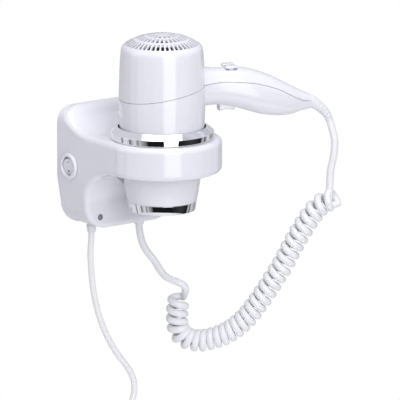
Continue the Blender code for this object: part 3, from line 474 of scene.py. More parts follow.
def turned(name, profile, axis=(0.0, 0.0, 0.0), steps=96, turn=None):
    """A closed profile of (radius, height) points, spun about an upright axis."""
    shape = bmesh.new()
    ends = [shape.verts.new((radius, 0.0, height)) for radius, height in profile]
    edges = [shape.edges.new(pair) for pair in zip(ends, ends[1:] + ends[:1])
             if pair[0].co.x > 1e-7 or pair[1].co.x > 1e-7]
    bmesh.ops.spin(shape, geom=ends + edges, axis=(0, 0, 1), cent=(0, 0, 0), steps=steps,
                   angle=2.0 * math.pi, use_merge=True)
    bmesh.ops.remove_doubles(shape, verts=shape.verts, dist=0.000002)
    bmesh.ops.recalc_face_normals(shape, faces=shape.faces)
    if turn is not None:
        bmesh.ops.transform(shape, matrix=turn, verts=shape.verts)
    bmesh.ops.translate(shape, vec=axis, verts=shape.verts)
    return mesh_of(name, shape)


def rounded(profile, radii, steps=6):
    """An outline of two-number points with its corners rounded; one radius for each corner."""
    outline = []
    count = len(profile)
    for index, (corner, radius) in enumerate(zip(profile, radii)):
        here = Vector(corner)
        if radius <= 0.0:
            outline.append(tuple(here))
            continue
        before = (Vector(profile[index - 1]) - here).normalized()
        after = (Vector(profile[(index + 1) % count]) - here).normalized()
        half = before.angle(after) / 2.0
        reach = radius / math.tan(half)
        centre = here + (before + after).normalized() * (radius / math.sin(half))
        start, end = here + before * reach - centre, here + after * reach - centre
        span = start.angle_signed(end)
        for step in range(steps + 1):
            outline.append(tuple(centre + Matrix.Rotation(-span * step / steps, 2) @ start))
    return outline


def rod(name, radius, start, end, steps=48):
    """A plain closed cylinder between two points."""
    start, end = Vector(start), Vector(end)
    shape = bmesh.new()
    bmesh.ops.create_cone(shape, cap_ends=True, segments=steps, radius1=radius, radius2=radius,
                          depth=(end - start).length)
    spin = (end - start).to_track_quat("Z", "Y").to_matrix().to_4x4()
    bmesh.ops.transform(shape, matrix=Matrix.Translation((start + end) / 2.0) @ spin, verts=shape.verts)
    return mesh_of(name, shape)


switch_low, switch_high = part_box("switch_bezel")
cover_low, cover_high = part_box("base_cover")
liner_low, liner_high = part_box("cup_liner")
half_width = cover_high.x
base_top, base_bottom = cover_high.z, cover_low.z
rim, under = liner_high.z, liner_low.z
back_depth = -cover_high.y
axis_depth = -cup_axis.y
bore = liner_high.x + clearance
ring_radius = (ring_high.x - ring_low.x) / 2.0
wall = 0.0022
corner_top, corner_foot = 0.016, 0.024
foot_taper, foot_depth, foot_round = 0.004, 0.041, 0.006
lip_depth = 0.008


def side_reach(height):
    """Half the width of the cover at a height, with its round corners; upright beside the switch."""
    risen = blend_step(height, base_bottom + corner_foot * 0.8, switch_low.z)
    straight = half_width - foot_taper * (1.0 - risen)
    if height > base_top - corner_top:
        rise = min(corner_top, height - (base_top - corner_top))
        return straight - corner_top + math.sqrt(corner_top ** 2 - rise ** 2)
    if height < base_bottom + corner_foot:
        drop = min(corner_foot, base_bottom + corner_foot - height)
        return straight - corner_foot + math.sqrt(corner_foot ** 2 - drop ** 2)
    return straight


def smooth_outline(pairs, spacing):
    """Even points on the smooth curve through flat (distance, height) points."""
    return smooth_path([(*pair, 0.0) for pair in pairs], spacing)


# The two edges of the cover seen from the side, from the wall to the cup's axis, as (depth, height).
sweep_track = smooth_outline([
    (back_depth, base_top), (lip_depth - 0.002, base_top - 0.0002), (lip_depth + 0.0035, base_top - 0.0032),
    (lip_depth + 0.010, base_top - 0.0105), (lip_depth + 0.020, rim + 0.0052),
    (lip_depth + 0.032, rim + 0.0014), (lip_depth + 0.046, rim), (0.066, rim), (axis_depth, rim)], 0.0004)
scoop_track = smooth_outline([
    (back_depth, base_bottom), (0.018, base_bottom), (foot_depth - foot_round, base_bottom + 0.0001),
    (foot_depth - foot_round * 0.28, base_bottom + foot_round * 0.30),
    (foot_depth, base_bottom + foot_round * 1.02), (foot_depth + 0.0003, under - 0.0400),
    (foot_depth + 0.0018, under - 0.0285), (foot_depth + 0.0075, under - 0.0170),
    (foot_depth + 0.0175, under - 0.0070), (foot_depth + 0.031, under - 0.0016),
    (axis_depth - 0.004, under), (axis_depth, under)], 0.0004)


def on_track(track, share, turn):
    """A point of a track, and its normal into the cover; turn is +1 above and -1 below."""
    place = share * (len(track) - 1)
    index = min(int(place), len(track) - 2)
    point = track[index].lerp(track[index + 1], place - index)
    ahead = (track[min(index + 6, len(track) - 1)] - track[max(index - 6, 0)]).normalized()
    return point, Vector((ahead.y, -ahead.x, 0.0)) * turn


run_steps, round_steps, side_steps = 12, 10, 26
shelf_round, foot_edge_round = 0.0056, 0.0052
back_ribs, front_ribs = 90, 40


def cover_section(track_share, turn_share):
    """One rib of the cover's outer face, from the middle of its top to the middle of its underside."""
    above, above_in = on_track(sweep_track, track_share, 1.0)
    beneath, beneath_in = on_track(scoop_track, track_share, -1.0)
    heading = turn_share * math.pi / 2.0
    reach_of = side_reach if turn_share <= 0.0 else lambda height: half_width
    rib = []

    def put(across, level):
        """Across is measured from the middle, then turned about the cup's axis."""
        if turn_share > 0.0:
            rib.append((-across * math.cos(heading), -axis_depth - across * math.sin(heading), level.y))
        else:
            rib.append((-across, -level.x, level.y))

    def shelf(across, level):
        """The sweep is cut back to a level floor around the plated ring."""
        away = math.hypot(across, axis_depth - level.x)
        share = blend_step(away, ring_radius + 0.0015, ring_radius + 0.0130)
        return Vector((level.x, rim + (level.y - rim) * share, 0.0))

    def plain(across, level):
        return level

    def run(level, end, floor):
        """The level stretch of a rib; it leaves out a round patch inside the bore."""
        hole = first = bore * 0.7
        if turn_share <= 0.0:
            first = math.sqrt(max(0.0, hole ** 2 - (level.x - axis_depth) ** 2))
        places = [first + (end - first) * step / run_steps for step in range(run_steps)]
        return [(across, floor(across, level)) for across in places]

    def rounding(level, inward, radius, floor):
        """The rounded edge of a rib: its points, ending on the side wall."""
        edge = reach_of(level.y)
        level = floor(edge - radius, level)
        last = level + inward * radius
        corners = ((edge - radius, level), (edge, level), (reach_of(last.y), last))
        arc_points = []
        for step in range(round_steps):
            share = step / round_steps
            weights = ((1.0 - share) ** 2, 1.6 * share * (1.0 - share), share ** 2)
            total = sum(weights)
            across = sum(part * at for part, (at, point) in zip(weights, corners)) / total
            place = sum((part * point for part, (at, point) in zip(weights, corners)), Vector()) / total
            arc_points.append((across, place))
        return arc_points, last

    above_arc, above_end = rounding(above, above_in, shelf_round, shelf)
    beneath_arc, beneath_end = rounding(beneath, beneath_in, foot_edge_round, plain)
    for across, level in run(above, above_arc[0][0], shelf) + above_arc:
        put(across, level)
    for step in range(side_steps + 1):
        level = above_end.lerp(beneath_end, (1.0 - math.cos(math.pi * step / side_steps)) / 2.0)
        put(reach_of(level.y), level)
    for across, level in reversed(run(beneath, beneath_arc[0][0], plain) + beneath_arc):
        put(across, level)
    return rib


def wrapped_grid(rows):
    """A bmesh grid drawn over rows of points."""
    shape = bmesh.new()
    down, along = len(rows) - 1, len(rows[0]) - 1
    bmesh.ops.create_grid(shape, x_segments=down, y_segments=along, size=1.0)
    for vert in shape.verts:
        row = round((vert.co.x + 1.0) / 2.0 * down)
        column = round((vert.co.y + 1.0) / 2.0 * along)
        vert.co = rows[row][column]
    return shape


cover_shape = wrapped_grid([cover_section(step / back_ribs, 0.0) for step in range(back_ribs + 1)]
                           + [cover_section(1.0, step / front_ribs) for step in range(1, front_ribs + 1)])
everything = cover_shape.verts[:] + cover_shape.edges[:] + cover_shape.faces[:]
other_half = bmesh.ops.duplicate(cover_shape, geom=everything)
bmesh.ops.scale(cover_shape, vec=(-1.0, 1.0, 1.0), verts=made_verts(other_half))
bmesh.ops.remove_doubles(cover_shape, verts=cover_shape.verts, dist=0.00002)
bmesh.ops.recalc_face_normals(cover_shape, faces=cover_shape.faces)
cover_shape.normal_update()
# The shell is open at the back, so its faces are turned round if most of them look towards a
# point inside it.
cover_heart = Vector((0.0, -0.04, 0.01))
looks_out = sum(face.normal.dot(face.calc_center_median() - cover_heart) * face.calc_area()
                for face in cover_shape.faces)
if looks_out < 0.0:
    bmesh.ops.reverse_faces(cover_shape, faces=cover_shape.faces)
cover_work = scratch(mesh_of("base_cover_shell", cover_shape))
thicken = cover_work.modifiers.new("wall", "SOLIDIFY")
thicken.thickness = wall
thicken.offset = -1.0
cover_mesh = settled(cover_work)
discard(cover_work)

switch_at = Vector((-half_width, (switch_low.y + switch_high.y) / 2.0, (switch_low.z + switch_high.z) / 2.0))
switch_radius = (switch_high.z - switch_low.z) / 2.0
bezel_neck = switch_radius - 0.0022
lens_low, lens_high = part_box("pilot_lens")
lens_at = Vector(((lens_low.x + lens_high.x) / 2.0, -foot_depth, (lens_low.z + lens_high.z) / 2.0))
lens_radius = (lens_high.x - lens_low.x) / 2.0
screw_low, screw_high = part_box("cover_screw")
screw_at = (screw_low + screw_high) / 2.0
screw_foot = Vector((screw_at.x, screw_at.y, base_bottom))
along_x, along_y, along_z = Vector((0.01, 0.0, 0.0)), Vector((0.0, 0.01, 0.0)), Vector((0.0, 0.0, 0.01))
cover_mesh = cut(
    cover_mesh,
    rod("bore", bore, (*cup_axis.xy, -0.1), (*cup_axis.xy, 0.1), 96),
    rod("switch_hole", bezel_neck + clearance, switch_at - along_x, switch_at + along_x),
    rod("lens_hole", lens_radius + clearance, lens_at - along_y, lens_at + along_y),
    *[rod("cord_hole", flex_radius + 0.0017, at - along_z, at + 2.0 * along_z)
      for at in (mains_exit, curly_exit)],
    rod("screw_hole", 0.0019, screw_foot - along_z, screw_foot + along_z))
# The wall of the bore, a little short of the shelf and the underside, which cover its ends.
bore_foot, bore_head = under + 0.0004, rim - 0.0004
bore_skin = turned("bore_skin", [(bore, bore_foot), (bore + wall, bore_foot), (bore + wall, bore_head),
                                 (bore, bore_head)], (*cup_axis.xy, 0.0))
cover_mesh = joined("base_cover_moulding", cover_mesh, bore_skin)
white_gloss = gloss("white_gloss", (0.80, 0.80, 0.865), 0.13, Coat_Weight=0.6, Coat_Roughness=0.05)
add_piece("base_cover_moulding", smoothed(cover_mesh, 30.0), white_gloss, "root", ("base_cover",))

# ------------------------------------------------------------------ cup ring
# ABS ring, plated bright chrome, pressed on the rim of the cup. A level band outside, a slope up to
# the lip around the handset.
barrel_radius = -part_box("rear_housing")[0].x
ring_inner = barrel_radius + 0.0007
ring_foot, ring_top = ring_low.z, ring_high.z
chrome = Finish("chrome_plate", (0.83, 0.84, 0.86), 0.035, 1.0)
chrome.feed("Roughness", chrome.noise(90.0, 3.0) * 0.03 + 0.02)
chrome.relief(chrome.noise(55.0, 1.0), 0.00001)
ring_profile = rounded(
    [(ring_inner, ring_foot), (ring_radius, ring_foot), (ring_radius, ring_top - 0.0048),
     (ring_inner + 0.0014, ring_top), (ring_inner, ring_top)],
    [0.0, 0.0004, 0.0005, 0.0005, 0.0006])
ring_mesh = smoothed(turned("cup_ring_plated", ring_profile, (*cup_axis.xy, 0.0), 160))
add_piece("cup_ring_plated", ring_mesh, chrome, "root", ("cup_ring",))

# ------------------------------------------------------------------ cup liner
# Satin white ABS sleeve that lines the cup. Its wall thickens towards the foot, where the
# handset's nozzle rests.
liner_outer = liner_high.x
liner_profile = rounded(
    [(liner_outer, rim), (liner_outer, under), (liner_outer - 0.0046, under),
     (liner_outer - 0.0046, under + 0.004), (liner_outer - 0.0016, rim)],
    [0.0, 0.0, 0.0008, 0.0010, 0.0005])
satin_white = gloss("satin_white", (0.74, 0.74, 0.79), 0.32)
liner_mesh = smoothed(turned("cup_liner_sleeve", liner_profile, (*cup_axis.xy, 0.0), 128))
add_piece("cup_liner_sleeve", liner_mesh, satin_white, "root", ("cup_liner",))

# ------------------------------------------------------------------ power switch
# Round snap-in rocker in the left side: a gloss white ABS bezel, and a white key with its on
# and off marks printed in grey. The key tilts about a level pin.


def block(name, size, at, bevel=0.0, segments=3):
    """A block with rounded edges."""
    shape = bmesh.new()
    bmesh.ops.create_cube(shape, size=1.0)
    bmesh.ops.scale(shape, vec=size, verts=shape.verts)
    if bevel:
        bmesh.ops.bevel(shape, geom=shape.edges[:], offset=bevel, offset_type="OFFSET", segments=segments,
                        profile=0.5, affect="EDGES", material=-1)
    bmesh.ops.translate(shape, vec=at, verts=shape.verts)
    return mesh_of(name, shape)


to_side = Matrix.Rotation(math.radians(-90.0), 4, "Y")
window = 0.0088
bezel_face = -half_width - switch_low.x
bezel_profile = rounded(
    [(window, bezel_face), (switch_radius, bezel_face), (switch_radius, 0.0003), (bezel_neck, 0.0003),
     (bezel_neck, -0.0060), (window, -0.0060)], [0.0009, 0.0017, 0.0003, 0.0, 0.0, 0.0])
bezel_mesh = smoothed(turned("switch_bezel_ring", bezel_profile, switch_at, 96, to_side))
add_piece("switch_bezel_ring", bezel_mesh, white_gloss, "root", ("switch_bezel",))
rocker_tilt = math.radians(-7.0)
rocker_radius, rocker_height, rocker_crest = window - 0.0008, 0.0048, 0.0007
rocker_profile = rounded(
    [(0.0, rocker_height), (rocker_radius - 0.0002, rocker_height), (rocker_radius, 0.0), (0.0, 0.0)],
    [0.0, 0.0007, 0.0, 0.0])
rocker_shape = bmesh.new()
rocker_shape.from_mesh(turned("rocker", rocker_profile, steps=96))
# The key's top needs points along its spokes before it can be creased.
spokes = [edge for edge in rocker_shape.edges if edge.verts[0].co.z > rocker_height * 0.9
          and abs(edge.calc_length() - rocker_radius) < 0.0012]
bmesh.ops.subdivide_edges(rocker_shape, edges=spokes, cuts=7)
for vert in rocker_shape.verts:
    if vert.co.z > rocker_height * 0.7:
        vert.co.z -= rocker_crest * abs(vert.co.x) / rocker_radius
rocker_sunk = Vector((0.0030, 0.0, 0.0))
rocker_seat = (Matrix.Translation(switch_at + rocker_sunk) @ Matrix.Rotation(rocker_tilt, 4, "Y")
               @ to_side)
bmesh.ops.transform(rocker_shape, matrix=rocker_seat, verts=rocker_shape.verts)
add_piece("power_rocker_key", smoothed(mesh_of("power_rocker_key", rocker_shape)), white_gloss, "rocker",
          ("power_rocker",))
print_grey = Finish("print_grey", (0.045, 0.045, 0.05), 0.55)
print_grey.feed("Roughness", print_grey.noise(400.0) * 0.2 + 0.45)
# The bar for on and the ring for off, each laid on its own slope of the key.
mark_out, ink = 0.0044, 0.00005
slope = math.atan(rocker_crest / rocker_radius)
bar_mark = block("bar_mark", (0.0006, 0.0022, 2.0 * ink), (mark_out, 0.0, 0.0))
ring_mark = turned("ring_mark", [(0.0006, -ink), (0.0013, -ink), (0.0013, ink), (0.0006, ink)],
                   (-mark_out, 0.0, 0.0), 32)
for side, mark in ((1.0, bar_mark), (-1.0, ring_mark)):
    mark.transform(Matrix.Translation((0.0, 0.0, rocker_height + 0.00003))
                   @ Matrix.Rotation(side * slope, 4, "Y"))
marks = joined("rocker_marks", bar_mark, ring_mark)
marks.transform(rocker_seat)
add_piece("rocker_marks", marks, print_grey, "rocker", ())

# ------------------------------------------------------------------ pilot lens
# Smoked acrylic button over the pilot lamp. It is pushed into a hole low on the front of the
# cover, and its face is a little domed.
lens_profile = rounded(
    [(0.0, 0.0009), (lens_radius - 0.0001, 0.0006), (lens_radius, -0.0030), (0.0, -0.0030)],
    [0.0, 0.0004, 0.0, 0.0])
smoked = Finish("smoked_lens", (0.23, 0.23, 0.25), 0.12, Coat_Weight=0.5)
smoked.feed("Base Color", smoked.mix(smoked.noise(900.0, 3.0), (0.17, 0.17, 0.19), (0.28, 0.28, 0.30)))
lens_turn = Matrix.Rotation(math.radians(90.0), 4, "X")
lens_mesh = smoothed(turned("pilot_lens_button", lens_profile, lens_at, 48, lens_turn))
add_piece("pilot_lens_button", lens_mesh, smoked, "root", ("pilot_lens",))

# ------------------------------------------------------------------ cord glands
# Soft white PVC bushes, one for each cord, pushed up into the underside of the cover. Each has
# a lip under the cover and a mouth that hugs its cord.
soft_white = gloss("soft_pvc", (0.80, 0.80, 0.84), 0.38, tint=0.05)
for label, at, cord_size in (("mains", mains_exit, flex_radius), ("curly", curly_exit, curly_radius)):
    hug = cord_size + 0.0002
    top_of = base_bottom - at.z
    gland_profile = rounded(
        [(hug, top_of + 0.003), (hug, 0.0), (hug + 0.0008, 0.0), (hug + 0.0014, top_of - 0.0009),
         (hug + 0.0018, top_of - 0.0007), (hug + 0.0018, top_of - 0.0001), (hug + 0.0012, top_of),
         (hug + 0.0012, top_of + 0.003)], [0.0, 0.0, 0.0004, 0.0003, 0.0003, 0.0, 0.0, 0.0])
    gland_name = label + "_gland_bush"
    add_piece(gland_name, smoothed(turned(gland_name, gland_profile, at, 48)), soft_white, "root",
              (label + "_gland",))

# ------------------------------------------------------------------ handset casings
# Two gloss white ABS shells clipped together along a curved seam: the rear one carries the
# intake dome and the top of the handle, the front one the nozzle and the underside.
to_handset = Matrix.Translation(cup_axis) @ Matrix.Rotation(handle_turn, 4, "Z")
crown, nozzle_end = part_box("rear_housing")[1].z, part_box("front_housing")[0].z
nozzle_radius = barrel_radius - 0.0078
dome_radius = barrel_radius - 0.0041
# Half the barrel's outline, from the crown down to the nozzle, as (radius, height).
barrel_outline = smooth_outline([
    (0.0, crown), (dome_radius * 0.33, crown - 0.0007), (dome_radius * 0.635, crown - 0.0032),
    (dome_radius * 0.86, crown - 0.0069), (dome_radius * 0.97, crown - 0.0095),
    (barrel_radius - 0.0029, crown - 0.0117), (barrel_radius - 0.0020, crown - 0.0150),
    (barrel_radius - 0.0012, crown - 0.0240), (barrel_radius - 0.0006, 0.0930),
    (barrel_radius, 0.0720), (barrel_radius, 0.0620), (barrel_radius - 0.0008, 0.0420),
    (barrel_radius - 0.0022, 0.0200), (barrel_radius - 0.0040, -0.0020),
    (barrel_radius - 0.0060, nozzle_end + 0.010), (nozzle_radius, nozzle_end)], 0.0022)
handle_end = 0.144
# Sections of the handle: distance from the barrel's axis, top, underside, half width.
handle_sections = [
    (0.0280, 0.0995, 0.0600, 0.0170), (0.0410, 0.0975, 0.0613, 0.0155), (0.0500, 0.0960, 0.0615, 0.0150),
    (0.0620, 0.0959, 0.0602, 0.0150), (0.0730, 0.0955, 0.0572, 0.0155), (0.0840, 0.0935, 0.0535, 0.0160),
    (0.0950, 0.0900, 0.0500, 0.0160), (0.1060, 0.0853, 0.0481, 0.0155), (0.1160, 0.0800, 0.0473, 0.0140),
    (0.1250, 0.0750, 0.0480, 0.0120), (0.1340, 0.0702, 0.0505, 0.0092), (handle_end, 0.0655, 0.0523, 0.0066)]
handle_sides = 40
squareness = 0.85


def shrunk(outline, inward):
    """An outline of the barrel moved inward by the wall."""
    moved = []
    for index, point in enumerate(outline):
        ahead = (outline[min(index + 1, len(outline) - 1)] - outline[max(index - 1, 0)]).normalized()
        moved.append(point - Vector((-ahead.y, ahead.x, 0.0)) * inward)
    moved[0].x = 0.0
    return moved


def flat(points):
    """The first two numbers of each point."""
    return [(point.x, point.y) for point in points]


def handle_solid(name, inward, run_on):
    """The handle's closed form: a grid wrapped round its smooth sections."""
    upper = smooth_path([(out, top, under_side) for out, top, under_side, half in handle_sections], 0.0030)
    widths = flat(smooth_outline([(out, half) for out, top, under_side, half in handle_sections], 0.0010))
    rings = []
    for out, top, under_side in upper:
        middle, tall = (top + under_side) / 2.0, (top - under_side) / 2.0 - inward
        wide = level_of(widths, out) - inward
        ring = []
        for step in range(handle_sides):
            angle = 2.0 * math.pi * step / handle_sides
            cos, sin = math.cos(angle), math.sin(angle)
            ring.append(Vector((out, wide * math.copysign(abs(cos) ** squareness, cos),
                                middle + tall * math.copysign(abs(sin) ** squareness, sin))))
        rings.append(ring)
    rings.insert(0, [point - Vector((0.012, 0.0, 0.0)) for point in rings[0]])
    if run_on:
        rings.append([point + Vector((0.004, 0.0, 0.0)) for point in rings[-1]])
    else:
        heart = sum(rings[-1], Vector()) / handle_sides
        for shrink, push in ((0.985, -0.0001), (0.94, 0.0)):
            pushed = heart + Vector((push, 0.0, 0.0))
            rings.append([pushed + (point - heart) * shrink for point in rings[-1]])
    shape = wrapped_grid([ring + ring[:1] for ring in rings])
    bmesh.ops.remove_doubles(shape, verts=shape.verts, dist=0.000001)
    bmesh.ops.holes_fill(shape, edges=shape.edges, sides=0)
    bmesh.ops.recalc_face_normals(shape, faces=shape.faces)
    return mesh_of(name, shape)


def slab(name, outline, thickness):
    """An upright sheet along the handle, from an outline of (distance, height)."""
    shape = bmesh.new()
    face = shape.faces.new([shape.verts.new((along, -thickness / 2.0, height)) for along, height in outline])
    pushed = bmesh.ops.extrude_face_region(shape, geom=[face])
    bmesh.ops.translate(shape, vec=(0.0, thickness, 0.0), verts=made_verts(pushed))
    bmesh.ops.recalc_face_normals(shape, faces=shape.faces)
    return mesh_of(name, shape)


outside = flat(barrel_outline) + [(0.0, nozzle_end)]
past_mouth = nozzle_end - 0.02
inside = flat(shrunk(barrel_outline, wall)) + [(nozzle_radius - wall, past_mouth), (0.0, past_mouth)]
casing, casing_inside = [
    cut(turned(name, outline, steps=144), handle_solid("grip", inward, run_on), operation="UNION")
    for name, outline, inward, run_on in (("casing", outside, 0.0, False), ("hollow", inside, wall, True))]
casing = cut(casing, casing_inside)

# The seam between the two shells, as (distance, height) along the handle: half a hairline is
# taken off each shell.
seam_line = flat(smooth_outline((
    (-0.060, 0.0690), (-0.040, 0.0705), (-0.020, 0.0735), (0.000, 0.0770), (0.020, 0.0803), (0.040, 0.0834),
    (0.054, 0.0847), (0.069, 0.0839), (0.088, 0.0813), (0.102, 0.0772), (0.113, 0.0728), (0.121, 0.0683),
    (0.131, 0.0632), (0.139, 0.0606), (0.170, 0.0590)), 0.0025))
seam = 0.00022
above_seam = [(along, height - seam) for along, height in seam_line] + [(0.17, 0.2), (-0.06, 0.2)]
below_seam = [(along, height + seam) for along, height in seam_line] + [(0.17, -0.2), (-0.06, -0.2)]
rear_casing = cut(casing.copy(), slab("front_half", below_seam, 0.12))
front_casing = cut(casing, slab("rear_half", above_seam, 0.12))

# Three rings of radial slots through the dome, wider at their outer ends.
slots = []
for inner_share, outer_share, width, count in ((0.735, 0.945, 0.0026, 46), (0.46, 0.655, 0.0022, 32),
                                               (0.20, 0.375, 0.0018, 17)):
    slot = block("slot", (dome_radius * (outer_share - inner_share), width, 0.030), (0.0, 0.0, 0.0))
    for vert in slot.vertices:
        vert.co.y *= 1.0 + 0.2 * math.copysign(1.0, vert.co.x)
    slot.transform(Matrix.Translation((dome_radius * (inner_share + outer_share) / 2.0, 0.0, crown - 0.010)))
    for step in range(count):
        turned_slot = slot.copy()
        turned_slot.transform(Matrix.Rotation(2.0 * math.pi * (step + 0.5) / count, 4, "Z"))
        slots.append(turned_slot)
rear_casing = cut(rear_casing, joined("intake_slots", *slots))

# Openings for the slide keys on the handle and the push key beneath it.
key_places = {}
for label in ("heat", "speed", "cool"):
    low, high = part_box(label + "_key")
    local = to_handset.inverted() @ ((low + high) / 2.0)
    key_places[label] = Vector((round(local.x, 4), round(local.y, 4), 0.0))
key_seat = 0.0958
for label in ("heat", "speed"):
    at = key_places[label]
    rear_casing = cut(rear_casing, block("key_slot", (0.0100, 0.0030, 0.02), (at.x, at.y, key_seat), 0.0008))
cool_at = key_places["cool"]
push_key_hole = block("push_key_hole", (0.0162, 0.0112, 0.02), (cool_at.x, 0.0, 0.056), 0.0014)
front_casing = cut(front_casing, push_key_hole)
for label, mesh in (("rear", rear_casing), ("front", front_casing)):
    mesh.transform(to_handset)
    add_piece(label + "_casing", smoothed(mesh, 30.0), white_gloss, "handset", (label + "_housing",))

# ------------------------------------------------------------------ nozzle band
# ABS ring, plated bright chrome, pushed on the nozzle's tip around the outlet. It is drawn in
# a little at its mouth.
band_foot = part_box("nozzle_band")[0].z
band_profile = rounded(
    [(nozzle_radius - 0.0002, nozzle_end - 0.0003), (nozzle_radius - 0.0014, band_foot),
     (nozzle_radius - 0.0034, band_foot), (nozzle_radius - 0.0041, nozzle_end + 0.0035),
     (nozzle_radius - 0.0026, nozzle_end + 0.0035), (nozzle_radius - 0.0026, nozzle_end - 0.0003)],
    [0.0003, 0.0006, 0.0006, 0.0, 0.0, 0.0])
band_mesh = smoothed(turned("nozzle_band_plated", band_profile, (*cup_axis.xy, 0.0), 144))
add_piece("nozzle_band_plated", band_mesh, chrome, "handset", ("nozzle_band",))

# ------------------------------------------------------------------ keys
# Two slide keys side by side, with thumb ribs, for heat and speed, and the long push key
# under the handle for cool air, dished for a fingertip. All are white ABS.


def softened(mesh, width):
    """A mesh with its sharp edges rounded."""
    work = scratch(mesh)
    soften = work.modifiers.new("soften", "BEVEL")
    soften.width = width
    soften.segments = 3
    soften.limit_method = "ANGLE"
    made = settled(work)
    discard(work)
    return made


key_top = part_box("heat_key")[1].z
cap_lift, rib_pitch, rib_count = 0.0004, 0.0021, 4
for label in ("heat", "speed"):
    at = key_places[label]
    name = label + "_slide_key"
    cap = block("cap", (0.0120, 0.0062, key_top - key_seat - cap_lift),
                (at.x, at.y, (key_top + key_seat - cap_lift) / 2.0), 0.0009, 4)
    ribs = [block("rib", (0.0009, 0.0052, 0.0010),
                  (at.x + rib_pitch * (step - (rib_count - 1) / 2.0), at.y, key_top - cap_lift), 0.0003, 2)
            for step in range(rib_count)]
    stem = block("stem", (0.0046, 0.0022, 0.006), (at.x, at.y, key_seat - 0.0022))
    key_mesh = joined(name, cap, *ribs, stem)
    key_mesh.transform(to_handset)
    add_piece(name, smoothed(key_mesh), white_gloss, label + "_slider", (label + "_key",))

cool_low, cool_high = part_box("cool_key")
push_long, push_wide, push_tall = 0.0150, 0.0100, 0.0108
end_drop, side_drop = 0.0011, 0.0016
push = bmesh.new()
bmesh.ops.create_cube(push, size=1.0)
bmesh.ops.subdivide_edges(push, edges=push.edges[:], cuts=7, use_grid_fill=True)
bmesh.ops.scale(push, vec=(push_long, push_wide, push_tall), verts=push.verts)
for vert in push.verts:
    if vert.co.z < 0.0:
        vert.co.z += end_drop * math.cos(vert.co.x / push_long * math.pi) * -vert.co.z / (push_tall / 2.0)
        vert.co.z += side_drop * (vert.co.y / (push_wide / 2.0)) ** 2 * -vert.co.z / (push_tall / 2.0)
bmesh.ops.translate(push, vec=(cool_at.x, 0.0, cool_low.z + push_tall / 2.0), verts=push.verts)
flange = block("flange", (0.0200, 0.0128, 0.0012), (cool_at.x, 0.0, cool_high.z - 0.0006))
push_mesh = joined("cool_push_key", softened(mesh_of("push", push), 0.0009), flange)
push_mesh.transform(to_handset)
add_piece("cool_push_key", smoothed(push_mesh), white_gloss, "cool_button", ("cool_key",))

# ------------------------------------------------------------------ strain relief
# Tapered soft PVC boot that runs from the handle's end on to the curly cord. Grooves round its
# thinner end let it bend.
boot_path = smooth_path((
    (handle_end - 0.003, 0.0, 0.0590), (handle_end + clearance, 0.0, 0.0588), (0.1500, 0.0, 0.0553),
    (0.1560, 0.0, 0.0505), (0.1606, 0.0, 0.0450), (boot_reach, 0.0, boot_drop)), 0.0005)
boot_thick, boot_thin = 0.0062, 0.0034
groove_depth, groove_count = 0.0004, 8
boot_length = length_of(boot_path)
boot_rings = []
for index in range(len(boot_path)):
    share = length_of(boot_path[:index + 1]) / boot_length
    size = boot_thick - (boot_thick - boot_thin) * share ** 0.9
    grooved = share > 0.30 and math.sin(share * 2.0 * math.pi * groove_count) > 0.55
    boot_rings.append(size - groove_depth if grooved else size)
boot = flex("strain_relief_boot", boot_path, 1.0, 8, boot_rings)
boot.transform(to_handset)
add_piece("strain_relief_boot", boot, soft_white, "handset", ("strain_relief",))

# ------------------------------------------------------------------ coil tie
# Flat satin nylon strap that holds the wound flex. It is closed round both layers of turns, and
# fine teeth cross its front face.
tie_low, tie_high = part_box("coil_tie")
tie_at = (tie_low + tie_high) / 2.0
tie_size = tie_high - tie_low
tie_gauge = 0.0012
strap = block("strap", tie_size, tie_at, 0.0016, 4)
strap_hole = block("strap_hole", (tie_size.x - 2.0 * tie_gauge, tie_size.y - 2.0 * tie_gauge, 0.03),
                   tie_at, 0.0012, 3)
tooth_pitch = 0.0009
teeth = [block("tooth", (0.0060, 0.0005, 0.0004),
               (tie_at.x, tie_low.y + 0.0001, tie_at.z + tooth_pitch * (step - 2))) for step in range(5)]
satin_nylon = gloss("satin_nylon", (0.80, 0.80, 0.83), 0.42, tint=0.05)
tie_mesh = smoothed(joined("coil_tie_strap", cut(strap, strap_hole), *teeth))
tie = add_piece("coil_tie_strap", tie_mesh, satin_nylon, "root", ("coil_tie",))

# ------------------------------------------------------------------ mains plug
# Two-pin plug moulded on the flex in white PVC, with a ribbed boot that lets the flex bend
# and a waist for the fingers; its plated pins are solid, with rounded tips.
plug_boot_tall = relief_high.z - relief_low.z
plug_boot_foot = (relief_high.x - relief_low.x) / 2.0
plug_boot_tip = flex_radius + 0.0008
plug_boot_bore = flex_radius + 0.0001
plug_boot_outline = [(plug_boot_bore, relief_high.z), (flex_radius + 0.0006, relief_high.z)]
plug_boot_ribs = 6
for step in range(plug_boot_ribs):
    share = (step + 0.3) / plug_boot_ribs
    rib_radius = plug_boot_tip + (plug_boot_foot - plug_boot_tip) * share
    level = relief_high.z - plug_boot_tall * share * 0.92
    plug_boot_outline += [(rib_radius, level), (rib_radius + 0.0002, level - 0.0016),
                          (rib_radius - 0.0006, level - 0.0018), (rib_radius - 0.0005, level - 0.0026)]
plug_boot_outline += [(plug_boot_foot - 0.0002, relief_low.z + 0.0012),
                      (plug_boot_foot - 0.0002, relief_low.z), (plug_boot_bore, relief_low.z)]
plug_boot_mesh = smoothed(turned("plug_boot", plug_boot_outline, (*plug_entry.xy, 0.0), 64))
plug_boot = add_piece("plug_boot", plug_boot_mesh, soft_white, "root", ("plug_relief",))

